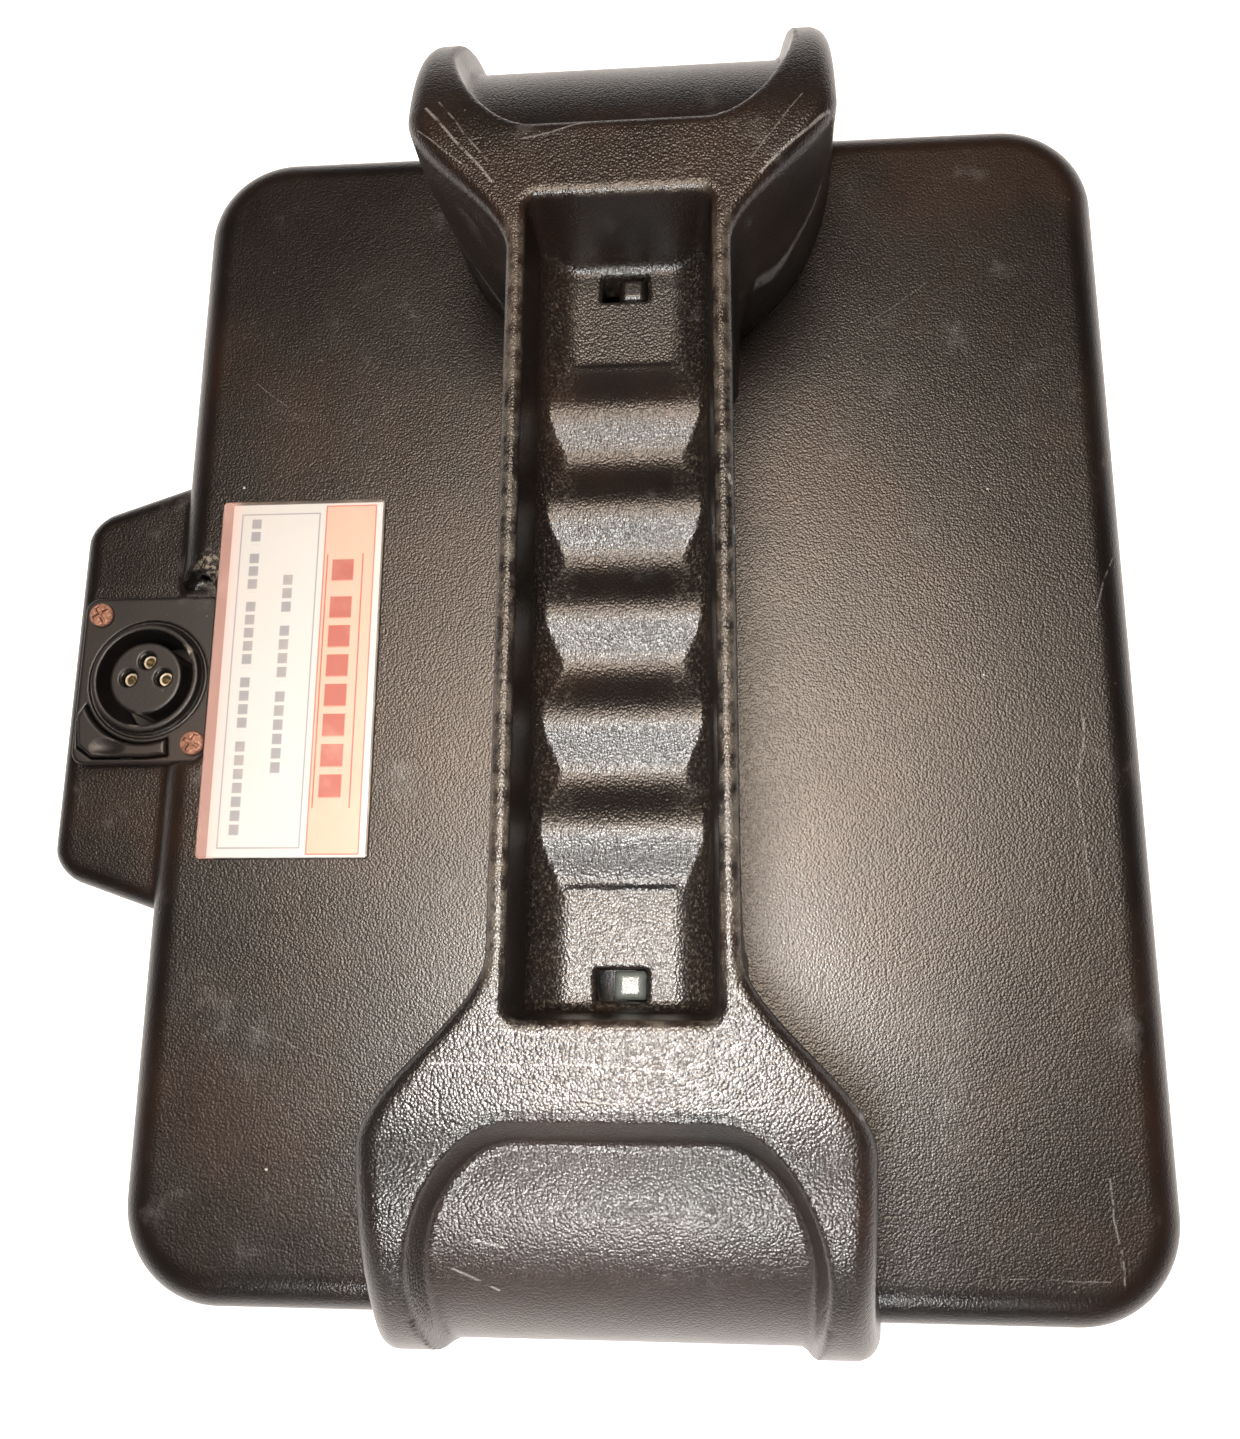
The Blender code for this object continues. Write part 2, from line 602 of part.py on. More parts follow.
def slotted_screw(name, place, shaft, head, finish):
    """Pan-head screw: shaft is (radius, free end z), head is (radius, face z, crown z)."""
    shaft_r, end = shaft
    head_r, face, crown = head
    up = 1.0 if crown > face else -1.0
    edge = (head_r - 0.2, crown - up * 0.5)
    shaft_side = [(0.0, end), (shaft_r, end), (shaft_r, face)]
    head_side = [(head_r, face), edge, (head_r * 0.55, crown), (0.0, crown)]
    screw = turned(name, shaft_side + head_side, place, finish, 14)
    x, y = place
    low, high = sorted((crown - up * 0.8, crown + up))
    reach = head_r * 0.7
    cut(screw, block(f"{name}_slot", (x - reach, y - 0.35, low), (x + reach, y + 0.35, high), finish))


# ---------------------------------------------------------------- fasteners, label and pads


def case_screws(steel):
    """Six long screws from below, through the tray's columns into the cover's bosses."""
    for side in (-1, 1):
        for i, y in enumerate(SCREW_ROWS):
            number = i + 1 + (0 if side < 0 else len(SCREW_ROWS))
            place = (side * SCREW_X, y)
            slotted_screw(f"case_screw_{number}", place, (SCREW_R, 68.0), (3.0, 6.7, 4.2), steel)


def handle_screws(steel):
    """Four screws from inside the cover, up into the bosses in the handle's legs."""
    face = CASE_TOP - WALL - GAP
    for i, (sx, sy) in enumerate(((-1, -1), (1, -1), (-1, 1), (1, 1))):
        place = (sx * HANDLE_SCREW_X, sy * HANDLE_SCREW_Y)
        slotted_screw(f"handle_screw_{i + 1}", place, (SCREW_R, 136.0), (3.2, face, face - 2.3), steel)


def label(film):
    outline = rounded_rectangle(LABEL_X / 2, LABEL_Y / 2, 0.8, LABEL_MIDDLE, 3)
    prism_z("label", outline, CASE_TOP + GAP, CASE_TOP + 0.6, film)


def pads(foam):
    for tag, low, high in (("front", -90.0, -20.0), ("rear", 20.0, 90.0)):
        block(f"foam_pad_{tag}", (-70.0, low, 12.8), (70.0, high, BATTERY_Z - GAP), foam)
    block("foam_divider", (-70.0, -0.7, 16.0), (70.0, 0.7, 106.0), foam)


# ---------------------------------------------------------------- batteries


def upright(name, place, half, levels, finish):
    """Block centred on place, from half sizes and its low and high levels."""
    low = (place[0] - half[0], place[1] - half[1], levels[0])
    high = (place[0] + half[0], place[1] + half[1], levels[1])
    return block(name, low, high, finish)


def battery(tag, side, dark, grey, metal, red):
    """Container, welded lid, two tab terminals and the connectors pushed onto them."""
    mid_y = side * (BATTERY_Y / 2 + 1.0)
    edge_y = side * TERMINAL_Y
    top = BATTERY_Z + BATTERY_H
    lid_low = top - LID_H
    container = rounded_rectangle(BATTERY_X / 2, BATTERY_Y / 2, 3.0, (0.0, mid_y), 3)
    prism_z(f"battery_{tag}_container", container, BATTERY_Z, lid_low - GAP, dark)
    crown = rounded_rectangle(BATTERY_X / 2 - 1.0, BATTERY_Y / 2 - 1.0, 2.0, (0.0, mid_y), 3)
    rings = [at_height(container, lid_low), at_height(container, top - 1.0), at_height(crown, top)]
    lid = loft(f"battery_{tag}_lid", rings, grey)
    vents = rounded_rectangle(36.0, 9.0, 2.0, (0.0, mid_y + side * 6.0), 3)
    cut(lid, prism_z(f"vent_recess_{tag}", vents, top - 1.2, top + 2.0, grey))
    for end, pole in ((-1, "a"), (1, "b")):
        x = end * TERMINAL_X
        place = (x, edge_y)
        blade = upright(f"battery_{tag}_terminal_{pole}", place, (3.17, 0.4), (top + 0.7, top + 6.3), metal)
        foot = upright(f"terminal_foot_{tag}_{pole}", place, (4.0, 3.0), (top + GAP, top + 1.2), metal)
        join(blade, foot)
        cover = upright(f"spade_cover_{tag}_{pole}", place, (4.6, 1.9), (top + 2.0, top + 8.3), red)
        cut(cover, upright(f"spade_slot_{tag}_{pole}", place, (3.6, 0.8), (top - 1.0, top + 6.9), red))


# ---------------------------------------------------------------- wiring


def fuse(dark, amber):
    """Holder in the hollow beside the socket, and the blade fuse in its open side."""
    low, high = (-94.0, -33.0, 75.0), (-85.0, -20.0, 101.0)
    holder = block("fuse_holder", low, high, dark)
    cut(holder, block("fuse_recess", (-92.6, -25.5, 78.0), (-86.4, -15.0, 98.0), dark))
    block("blade_fuse", (-92.1, -25.1, 78.5), (-86.9, -19.2, 97.5), amber)


def dock_connector(dark, metal, steel):
    """Two-pole connector that meets the scooter's contacts when the pack is set down."""
    middle = (DOCK_X, DOCK_Y)
    body = upright("dock_connector", middle, (29.4, 10.5), (5.3, 7.5), dark)
    outline = rounded_rectangle(DOCK_HALF_X - 0.5, DOCK_HALF_Y - 0.5, 2.5, middle)
    join(body, prism_z("dock_plug", outline, 0.8, 6.0, dark))
    join(body, upright("dock_hood", middle, (20.0, 8.0), (6.0, 11.5), dark))
    for i, side in enumerate((-1, 1)):
        x = DOCK_X + side * 9.0
        cut(body, block(f"dock_cavity_{i}", (x - 3.4, -1.6, -1.0), (x + 3.4, 1.6, 13.0), dark))
        near, far = sorted((0.0, side * 14.0))
        cut(body, block(f"dock_groove_{i}", (x - 2.4, near, 8.2), (x + 2.4, far, 14.0), dark))
        contact = block(f"dock_contact_{i + 1}", (x - 3.0, -1.0, 1.4), (x + 3.0, 1.0, 10.6), metal)
        near, far = sorted((0.0, side * 11.2))
        join(contact, block(f"dock_tail_{i}", (x - 2.0, near, 8.7), (x + 2.0, far, 10.3), metal))
        hole = (DOCK_X + side * (DOCK_HALF_X + 4.0), DOCK_Y)
        cut(body, rod(f"dock_ear_{i}", hole, 1.8, 4.0, 9.0, dark, 12))
        slotted_screw(f"dock_screw_{i + 1}", hole, (1.2, 1.6), (2.4, 7.8, 9.6), steel)


def leads(red, black):
    """Series jumper, fused main leads and the two charging leads, each along its own route."""
    z = BATTERY_Z + BATTERY_H + 5.2
    out = TERMINAL_X + 5.3
    x = TERMINAL_X
    jumper = [(x, -10.8, z), (x, -4.0, z + 0.8), (x, 4.0, z + 0.8), (x, 10.8, z)]
    positive = [
        (-out, -13.0, z), (-68.8, -13.6, z), (-70.2, -17.0, z), (-70.9, -21.8, z), (-74.0, -24.8, 114.0),
        (-79.0, -26.2, 110.6), (-85.0, -26.5, 107.4), (-88.6, -26.5, 104.0), (-89.0, -26.5, 101.6),
    ]
    fused = [
        (-89.0, -26.5, 74.4), (-88.2, -26.5, 72.4), (-83.4, -26.0, 69.6), (-79.4, -25.0, 63.5),
        (-78.8, -22.0, 48.0), (-79.0, -18.0, 30.0), (-79.3, -17.0, 15.5), (-76.6, -16.6, 9.9),
        (-69.0, -16.0, 9.4), (-57.0, -15.8, 9.5), (-52.0, -14.6, 9.5), (-51.0, -11.6, 9.5),
    ]
    negative = [
        (-out, 13.0, z), (-68.8, 13.6, z), (-70.2, 17.0, z), (-70.9, 22.2, z), (-74.0, 25.2, 114.0),
        (-79.0, 26.2, 110.6), (-82.0, 27.0, 104.0), (-80.6, 27.0, 90.0), (-79.0, 26.0, 62.0),
        (-79.0, 22.0, 34.0), (-79.3, 17.5, 15.5), (-76.6, 16.8, 9.9), (-69.0, 16.2, 9.4),
        (-50.0, 16.2, 9.5), (-37.0, 16.0, 9.5), (-33.6, 14.6, 9.5), (-33.0, 11.6, 9.5),
    ]
    tail = SOCKET_X - CONTACT_CIRCLE
    charge_positive = [(tail, 0.0, 94.0), (tail, -0.7, 88.0), (-91.0, -7.0, 86.0), (-89.8, -17.4, 86.0)]
    tail = SOCKET_X + CONTACT_CIRCLE
    charge_negative = [(tail, 0.0, 94.0), (tail + 0.4, 1.6, 87.0), (-82.6, 12.0, 82.0), (-80.2, 23.2, 82.0)]
    routes = {
        "series_jumper": (LEAD_R, black, jumper),
        "positive_lead": (LEAD_R, red, positive),
        "fused_lead": (LEAD_R, red, fused),
        "negative_lead": (LEAD_R, black, negative),
        "charge_lead_positive": (CHARGE_LEAD_R, red, charge_positive),
        "charge_lead_negative": (CHARGE_LEAD_R, black, charge_negative),
    }
    for name, (radius, finish, route) in routes.items():
        tube(name, smooth_path(route, 4), radius, finish)


def main():
    clear_scene()
    shell = material("case_plastic", (0.018, 0.016, 0.015), 0.42)
    grip = material("handle_plastic", (0.018, 0.016, 0.015), 0.40)
    socket = material("socket_plastic", (0.02, 0.02, 0.02), 0.35)
    rust = material("rusty_screw", (0.38, 0.2, 0.13), 0.6, 0.6)
    steel = material("screw_steel", (0.5, 0.5, 0.5), 0.35, 1.0)
    brass = material("contact_brass", (0.75, 0.62, 0.35), 0.35, 1.0)
    film = material("label_film", (0.85, 0.84, 0.82), 0.4)
    container = material("battery_container", (0.05, 0.05, 0.055), 0.5)
    lid = material("battery_lid", (0.35, 0.36, 0.37), 0.5)
    foam = material("foam", (0.12, 0.12, 0.12), 0.95)
    amber = material("fuse_plastic", (0.7, 0.35, 0.05), 0.3)
    red = material("lead_red", (0.5, 0.03, 0.02), 0.45)
    black = material("lead_black", (0.02, 0.02, 0.02), 0.45)
    base_tray(shell)
    top_cover(shell)
    handle(grip)
    charge_socket(socket, socket, brass, rust)
    case_screws(steel)
    handle_screws(steel)
    label(film)
    pads(foam)
    battery("front", -1, container, lid, brass, red)
    battery("rear", 1, container, lid, brass, red)
    fuse(socket, amber)
    dock_connector(socket, brass, steel)
    leads(red, black)


main()
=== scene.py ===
"""Looks of the carry-handle battery pack: moulded surfaces, worn plastics, label, light and camera.

Lengths are millimetres in the row frame, and meshes are made in metres. A moulded piece is a field,
negative inside the plastic and positive outside, whose zero surface is meshed on a grid of cells.
"""

import json
import math

import bpy
import numpy as np
from mathutils import Euler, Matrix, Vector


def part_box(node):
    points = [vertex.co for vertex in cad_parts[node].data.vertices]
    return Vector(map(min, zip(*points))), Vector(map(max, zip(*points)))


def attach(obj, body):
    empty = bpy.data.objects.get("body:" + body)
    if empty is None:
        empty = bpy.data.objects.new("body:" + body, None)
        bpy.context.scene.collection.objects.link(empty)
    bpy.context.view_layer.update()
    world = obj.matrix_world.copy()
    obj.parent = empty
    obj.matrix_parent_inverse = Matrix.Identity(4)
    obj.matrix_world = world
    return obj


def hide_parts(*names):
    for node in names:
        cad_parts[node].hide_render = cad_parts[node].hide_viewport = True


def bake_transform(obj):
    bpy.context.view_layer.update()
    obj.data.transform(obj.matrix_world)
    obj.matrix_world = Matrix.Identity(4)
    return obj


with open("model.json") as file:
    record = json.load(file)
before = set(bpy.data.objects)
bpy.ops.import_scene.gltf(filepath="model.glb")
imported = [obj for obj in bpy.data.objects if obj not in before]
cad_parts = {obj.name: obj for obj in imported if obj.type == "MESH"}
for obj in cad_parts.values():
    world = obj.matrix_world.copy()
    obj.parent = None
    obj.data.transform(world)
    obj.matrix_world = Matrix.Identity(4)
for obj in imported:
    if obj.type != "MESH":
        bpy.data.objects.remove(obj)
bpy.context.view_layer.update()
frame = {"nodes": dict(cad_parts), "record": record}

MM = 0.001
NODES = frame["nodes"]


def corners(node):
    """Lowest and highest corner of a CAD node in millimetres."""
    low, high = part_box(node)
    return np.array(low) / MM, np.array(high) / MM


# ---------------------------------------------------------------- driving sizes

COVER_LOW, COVER_HIGH = corners("top_cover")
HANDLE_LOW, HANDLE_HIGH = corners("handle")
SOCKET_LOW, SOCKET_HIGH = corners("charge_socket_shell")
INSERT_LOW, INSERT_HIGH = corners("socket_insert")
TAB_LOW, TAB_HIGH = corners("latch_tab")
LABEL_LOW, LABEL_HIGH = corners("label")

BASE_HALF_X, BASE_HALF_Y, BASE_CORNER = 86.0, 106.5, 18.0
TOP_HALF_X, TOP_HALF_Y, TOP_CORNER = 83.4, 103.9, 16.5
CASE_TOP, SHOULDER, WALL = 124.0, 6.0, 3.0
TONGUE_TOP, TONGUE_INSET = 55.3, 1.3
GAP = 0.3  # clearance between touching pieces

BUMP_ROOT, BUMP_REACH, BUMP_LOW_REACH = -80.0, -104.6, -94.0
BUMP_TOP, BUMP_LOW, BUMP_SLOPE, BUMP_MID_Y = 117.0, 60.0, 18.0, -1.0
BUMP_ROOT_HALF, BUMP_NOSE_HALF, BUMP_CORNER = 41.6, 33.2, 4.5

SOCKET_X, SOCKET_Y = -88.3, 0.0
FLANGE_HALF_X, FLANGE_HALF_Y, FLANGE_CORNER, FLANGE_T = 13.0, 15.5, 2.5, 2.0
RING_R, RING_PROUD, CUP_R, CUP_DEPTH = 9.9, 1.5, 8.8, 11.0
INSERT_R, CONTACT_CIRCLE, CONTACT_HOLE_R = 6.6, 3.2, 1.6
FIXINGS, FIXING_HOLE_R = ((-9.5, 12.0), (9.5, -12.0)), 1.8
TAB_INNER_R, TAB_GAP, WELL_FLOOR = 12.0, 0.35, 114.8
SPRING_X, SPRING_Y, SPRING_R, SPRING_WIRE, SPRING_TURNS = -4.0, -12.9, 1.2, 0.2, 2.25
NOTCH, NOTCH_R = (-79.4, 15.6), 3.4

HANDLE_TOP, HANDLE_END = 170.0, 104.1
BAR_HALF, FLARE_HALF, FOOT_HALF = 16.3, 32.4, 18.0
CHANNEL_FLOOR, CHANNEL_END, CHANNEL_HALF = 152.0, 58.0, 13.0
WAVE_PITCH, WAVE_COUNT, WAVE_LOW, WAVE_RISE = 16.2, 5, 0.4, 2.1
OPENING_HALF, OPENING_CORNER, GRIP_WALL = 47.5, 9.0, 3.0
WINDOW_X, WINDOW_Y, WINDOW_HALF_X, WINDOW_HALF_Y = -0.2, 54.0, 3.6, 2.2
FLARE_START, FLARE_RUN = 50.0, 24.5
END_START, END_LOW = 68.3, 135.9
POCKET_HALF, POCKET_ROUND = 25.0, 12.5
POCKET_Y, POCKET_Z, POCKET_LENGTH, POCKET_RISE = 70.2, 128.5, 33.9, 34.2
PAD_HALF = 12.6
CATCH_X, CATCH_HALF_X, CATCH_HALF_Y, CATCH_TOP = 1.05, 2.2, 2.0, 151.7


# ---------------------------------------------------------------- fields


def lerp(a, b, t):
    return a + (b - a) * t


def smoothstep(t):
    t = np.clip(t, 0.0, 1.0)
    return t * t * (3.0 - 2.0 * t)


def overlap(a, b, radius):
    """What both fields hold, with its edge rounded to radius."""
    corner = np.hypot(np.maximum(a + radius, 0.0), np.maximum(b + radius, 0.0))
    return np.minimum(np.maximum(a, b), -radius) + corner


def merge(a, b, radius):
    """What either field holds, with a fillet of radius where they meet."""
    corner = np.hypot(np.maximum(radius - a, 0.0), np.maximum(radius - b, 0.0))
    return np.maximum(np.minimum(a, b), radius) - corner


def carve(a, b, radius):
    """The first field without the second, with the cut's edge rounded to radius."""
    return overlap(a, -b, radius)


def rounded_plan(x, y, half_x, half_y, radius):
    """Plan of a rectangle with round corners."""
    reach_x = np.abs(x) - half_x + radius
    reach_y = np.abs(y) - half_y + radius
    outside = np.hypot(np.maximum(reach_x, 0.0), np.maximum(reach_y, 0.0))
    return outside + np.minimum(np.maximum(reach_x, reach_y), 0.0) - radius


def cylinder(x, y, centre, radius):
    return np.hypot(x - centre[0], y - centre[1]) - radius


def polygon_plan(x, y, outline):
    """Distance to a closed outline in plan, negative inside."""
    nearest = np.full(np.broadcast(x, y).shape, 1e9)
    inside = np.zeros(nearest.shape, bool)
    for (ax, ay), (bx, by) in zip(outline, outline[1:] + outline[:1]):
        ex, ey = bx - ax, by - ay
        along = np.clip(((x - ax) * ex + (y - ay) * ey) / (ex * ex + ey * ey), 0.0, 1.0)
        nearest = np.minimum(nearest, np.hypot(x - ax - along * ex, y - ay - along * ey))
        if ey != 0.0:
            crossing = (ay > y) != (by > y)
            inside ^= crossing & (x < ax + ex * (y - ay) / ey)
    return np.where(inside, -nearest, nearest)


def case_field(x, y, z):
    """Drafted case with its rounded shoulder."""
    t = z / (CASE_TOP - SHOULDER)
    half_x = lerp(BASE_HALF_X, TOP_HALF_X, t)
    half_y = lerp(BASE_HALF_Y, TOP_HALF_Y, t)
    walls = rounded_plan(x, y, half_x, half_y, lerp(BASE_CORNER, TOP_CORNER, t))
    return overlap(walls, z - CASE_TOP, SHOULDER)


def bump_field(x, y, z):
    """Housing of the charging socket on the case's side, with a sloping underside."""
    reach = lerp(BUMP_LOW_REACH, BUMP_REACH, np.clip((z - BUMP_LOW) / BUMP_SLOPE, 0.0, 1.0))
    out = (x - BUMP_ROOT) / (BUMP_REACH - BUMP_ROOT)
    side = (np.abs(y - BUMP_MID_Y) - lerp(BUMP_ROOT_HALF, BUMP_NOSE_HALF, out)) * 0.95
    plan = overlap(side, (reach - x) * 0.87, BUMP_CORNER)
    walls = overlap(overlap(plan, z - BUMP_TOP, 3.5), BUMP_LOW - z, 1.0)
    return np.maximum(walls, x - BUMP_ROOT - 4.0)


def tab_outline(grow=0.0):
    """Plan of the release tab: a crescent along the socket's ring."""
    inner = TAB_INNER_R - grow
    outline = []
    for k in range(17):
        angle = math.radians(lerp(203.0 - grow * 3.0, 292.0 + grow * 3.0, k / 16))
        outline.append((SOCKET_X + inner * math.cos(angle), SOCKET_Y + inner * math.sin(angle)))
    low = SOCKET_Y - 14.2 - grow
    outline.append((SOCKET_X + 4.6 + grow, low + 0.4))
    outline.append((SOCKET_X + 1.0, low))
    outline.append((SOCKET_X - 9.0, low))
    outline.append((SOCKET_X - 11.6 - grow, low + 2.0))
    outline.append((SOCKET_X - 12.2 - grow, SOCKET_Y - 7.0))
    return outline


def cover_field(x, y, z):
    """Cover: shell with the socket's housing and pocket, and the two catch posts."""
    case = case_field(x, y, z)
    bump = bump_field(x, y, z)
    body = merge(case, bump, 1.6)
    hollow = np.minimum(case + WALL, np.maximum(case + TONGUE_INSET, z - TONGUE_TOP))
    hollow = np.minimum(hollow, np.maximum(bump + WALL, x + 74.0))
    seat = np.maximum(rounded_plan(x + 78.9, y - 0.5, 6.1, 19.1, 1.0), 112.5 - z)
    shell = np.maximum(body, -np.maximum(hollow, -seat))
    pocket = np.maximum(rounded_plan(x - SOCKET_X + 0.3, y - 0.6, 13.4, 16.6, 2.5), BUMP_TOP - z)
    shell = carve(shell, pocket, 0.5)
    shell = carve(shell, np.maximum(cylinder(x, y, NOTCH, NOTCH_R), BUMP_TOP + 0.6 - z), 0.4)
    shell = np.maximum(shell, -np.maximum(cylinder(x, y, (SOCKET_X, SOCKET_Y), RING_R + 0.4), 100.0 - z))
    well = np.maximum(polygon_plan(x, y, tab_outline(TAB_GAP)), WELL_FLOOR - z)
    shell = np.maximum(shell, -well)
    shell = overlap(shell, COVER_LOW[2] - z, 0.5)
    for side in (-1.0, 1.0):
        plan = rounded_plan(x - CATCH_X, y - side * WINDOW_Y, CATCH_HALF_X, CATCH_HALF_Y, 0.2)
        post = np.maximum(overlap(plan, z - CATCH_TOP, 0.15), CASE_TOP - 1.0 - z)
        shell = np.minimum(shell, post)
    return shell


def wave(y):
    """Height of the finger waves above the channel's floor."""
    inside = np.abs(y) < WAVE_PITCH * WAVE_COUNT / 2.0
    rise = WAVE_LOW + WAVE_RISE * (0.5 + 0.5 * np.cos(2.0 * math.pi * y / WAVE_PITCH))
    return np.where(inside, rise, 0.0)


def handle_half_width(d, z):
    """Half width of the handle at distance d from its middle."""
    rim = lerp(BAR_HALF, FLARE_HALF, smoothstep((d - FLARE_START) / FLARE_RUN))
    spread = 37.4 - 13.0 * np.exp((66.0 - d) / 14.0) - FOOT_HALF
    spread = np.maximum(spread, -40.0)
    foot = FOOT_HALF + (spread + np.sqrt(spread * spread + 4.0)) / 2.0
    return lerp(foot, rim, smoothstep((z - CASE_TOP) / (HANDLE_TOP - 8.0 - CASE_TOP)))


def handle_field(x, y, z):
    """Bridge handle: open channel with finger waves on top, hand opening below, a pocket in each end."""
    d = np.abs(y)
    flare = smoothstep((d - FLARE_START) / FLARE_RUN)
    half = handle_half_width(d, z)
    run = np.maximum(d - END_START, 0.0) / (HANDLE_END - END_START)
    rise = np.maximum(z - END_LOW, 0.0) / (HANDLE_TOP - END_LOW)
    end = (np.hypot(run, rise) - 1.0) * 34.8
    body = overlap((np.abs(x) - half) * 0.96, end, lerp(1.5, 3.2, flare))
    body = np.maximum(body, HANDLE_LOW[2] - z)

    channel = overlap(np.abs(x) - CHANNEL_HALF - 0.05 * (z - 159.0), CHANNEL_FLOOR - z, 6.0)
    channel = overlap(channel, d - CHANNEL_END - 0.05 * (z - 159.0), 1.7)
    body = carve(body, channel, 0.9)
    pad = rounded_plan(x, y, PAD_HALF, WAVE_PITCH * WAVE_COUNT / 2.0, 3.5)
    hump = overlap(z - CHANNEL_FLOOR - wave(y), pad, 0.25)
    body = np.minimum(body, np.maximum(hump, CHANNEL_FLOOR - 1.5 - z))

    sides = d - OPENING_HALF - 0.05 * (140.0 - z)
    fade = smoothstep((OPENING_HALF - OPENING_CORNER - d) / 3.0)
    roof = z - (CHANNEL_FLOOR - GRIP_WALL) - wave(y) * fade
    body = carve(body, overlap(sides, roof, OPENING_CORNER), 1.8)

    rise = np.maximum(z - POCKET_Z, 0.0) / POCKET_RISE
    reach = (d - POCKET_Y) / POCKET_LENGTH
    angle = np.arctan2(rise, reach)
    depth = (np.hypot(np.maximum(reach, 0.0), rise) - 1.0) * 33.7
    across = np.maximum(np.abs(x) - POCKET_HALF + POCKET_ROUND, 0.0) / POCKET_ROUND
    along = np.maximum(angle - math.radians(54.0), 0.0) / math.radians(30.0)
    arch = (np.hypot(across, along) - 1.0) * 13.0 - depth * 0.33
    body = carve(body, overlap(arch, -depth, 0.9), 0.5)

    skirt = np.minimum(half - GRIP_WALL, 34.0)
    back = (np.hypot(run, np.maximum(z - POCKET_Z, 0.0) / 31.2) - 1.0) * 33.0 + GRIP_WALL
    leg = np.maximum(np.abs(x) - skirt, np.maximum(OPENING_HALF + GRIP_WALL + 0.5 - d, back))
    body = np.maximum(body, -np.maximum(leg, z - 146.0))
    plan = rounded_plan(x - WINDOW_X, d - WINDOW_Y, WINDOW_HALF_X, WINDOW_HALF_Y, 0.3)
    body = carve(body, np.maximum(plan, 140.0 - z), 0.12)
    return np.maximum(body, GAP - case_field(x, y, z))


def socket_field(x, y, z):
    """Socket shell: barrel, raised ring, cup and flange."""
    centre = (SOCKET_X, SOCKET_Y)
    low, high = SOCKET_LOW[2], SOCKET_HIGH[2]
    flange_top = high - RING_PROUD
    plan = rounded_plan(x - SOCKET_X, y - SOCKET_Y, FLANGE_HALF_X, FLANGE_HALF_Y, FLANGE_CORNER)
    flange = overlap(plan, z - flange_top, 0.7)
    flange = np.maximum(flange, flange_top - FLANGE_T - z)
    barrel = overlap(cylinder(x, y, centre, RING_R), z - high, 0.4)
    body = np.maximum(merge(flange, barrel, 0.3), low - z)
    cup = np.maximum(cylinder(x, y, centre, CUP_R), flange_top - CUP_DEPTH - z)
    body = carve(body, cup, 0.25)
    groove = np.maximum(np.abs(cylinder(x, y, centre, RING_R + 0.7)) - 0.3, flange_top - 0.5 - z)
    body = carve(body, groove, 0.12)
    slot = np.maximum(polygon_plan(x, y, tab_outline(TAB_GAP)), flange_top - 2.5 - z)
    body = carve(body, slot, 0.3)
    for across, along in FIXINGS:
        hole = cylinder(x, y, (SOCKET_X + across, SOCKET_Y + along), FIXING_HOLE_R)
        body = np.maximum(body, -np.maximum(hole, flange_top - 3.0 - z))
    return body


def insert_field(x, y, z):
    """Round insert with three contact holes."""
    body = overlap(cylinder(x, y, (SOCKET_X, SOCKET_Y), INSERT_R), z - INSERT_HIGH[2], 0.4)
    body = np.maximum(body, INSERT_LOW[2] - z)
    for k in range(3):
        angle = math.pi / 2.0 * k
        place = (SOCKET_X + CONTACT_CIRCLE * math.cos(angle), SOCKET_Y + CONTACT_CIRCLE * math.sin(angle))
        body = carve(body, cylinder(x, y, place, CONTACT_HOLE_R), 0.2)
    return body


def tab_field(x, y, z):
    """Release tab with a shallow lens-shaped dip for the fingertip."""
    plan = polygon_plan(x, y, tab_outline())
    body = np.maximum(overlap(plan, z - TAB_HIGH[2], 0.6), TAB_LOW[2] - z)
    across, along, up = x - SOCKET_X + 6.0, y - SOCKET_Y + 12.6, z - TAB_HIGH[2] - 3.6
    dip = np.sqrt(across**2 * 0.5 + along**2 * 1.6 + up**2)
    return carve(body, dip - 4.1, 0.3)


def screw_field(node, turn):
    """Pan-head screw in the place of a CAD screw, with its slot turned by an angle."""
    low, high = corners(node)
    middle = (low + high) / 2.0

    def field(x, y, z):
        head_r = (high[0] - low[0]) / 2.0
        dome = np.sqrt((x - middle[0]) ** 2 + (y - middle[1]) ** 2 + (z - high[2] + 5.5) ** 2) - 5.5
        head = overlap(cylinder(x, y, middle, head_r), dome, 0.35)
        head = np.maximum(head, high[2] - 1.2 - z)
        shaft = np.maximum(cylinder(x, y, middle, 1.3), low[2] - z)
        body = np.minimum(head, np.maximum(shaft, z - high[2] + 1.0))
        across = (x - middle[0]) * math.cos(turn) + (y - middle[1]) * math.sin(turn)
        along = (y - middle[1]) * math.cos(turn) - (x - middle[0]) * math.sin(turn)
        slots = np.minimum(np.maximum(np.abs(across) - 0.35, np.abs(along) - 1.6),
                           np.maximum(np.abs(along) - 0.35, np.abs(across) - 1.6))
        return carve(body, np.maximum(slots, high[2] - 0.9 - z), 0.12)

    return field


# ---------------------------------------------------------------- meshing


def graded(*spans):
    """Grid positions from (start, step) pairs and a last stop."""
    places = []
    for (start, step), (stop, _) in zip(spans, spans[1:]):
        count = max(round((stop - start) / step), 1)
        places += [lerp(start, stop, k / count) for k in range(count)]
    return np.array(places + [spans[-1][0]])


def spread(low, high, step):
    return graded((low, step), (high, step))


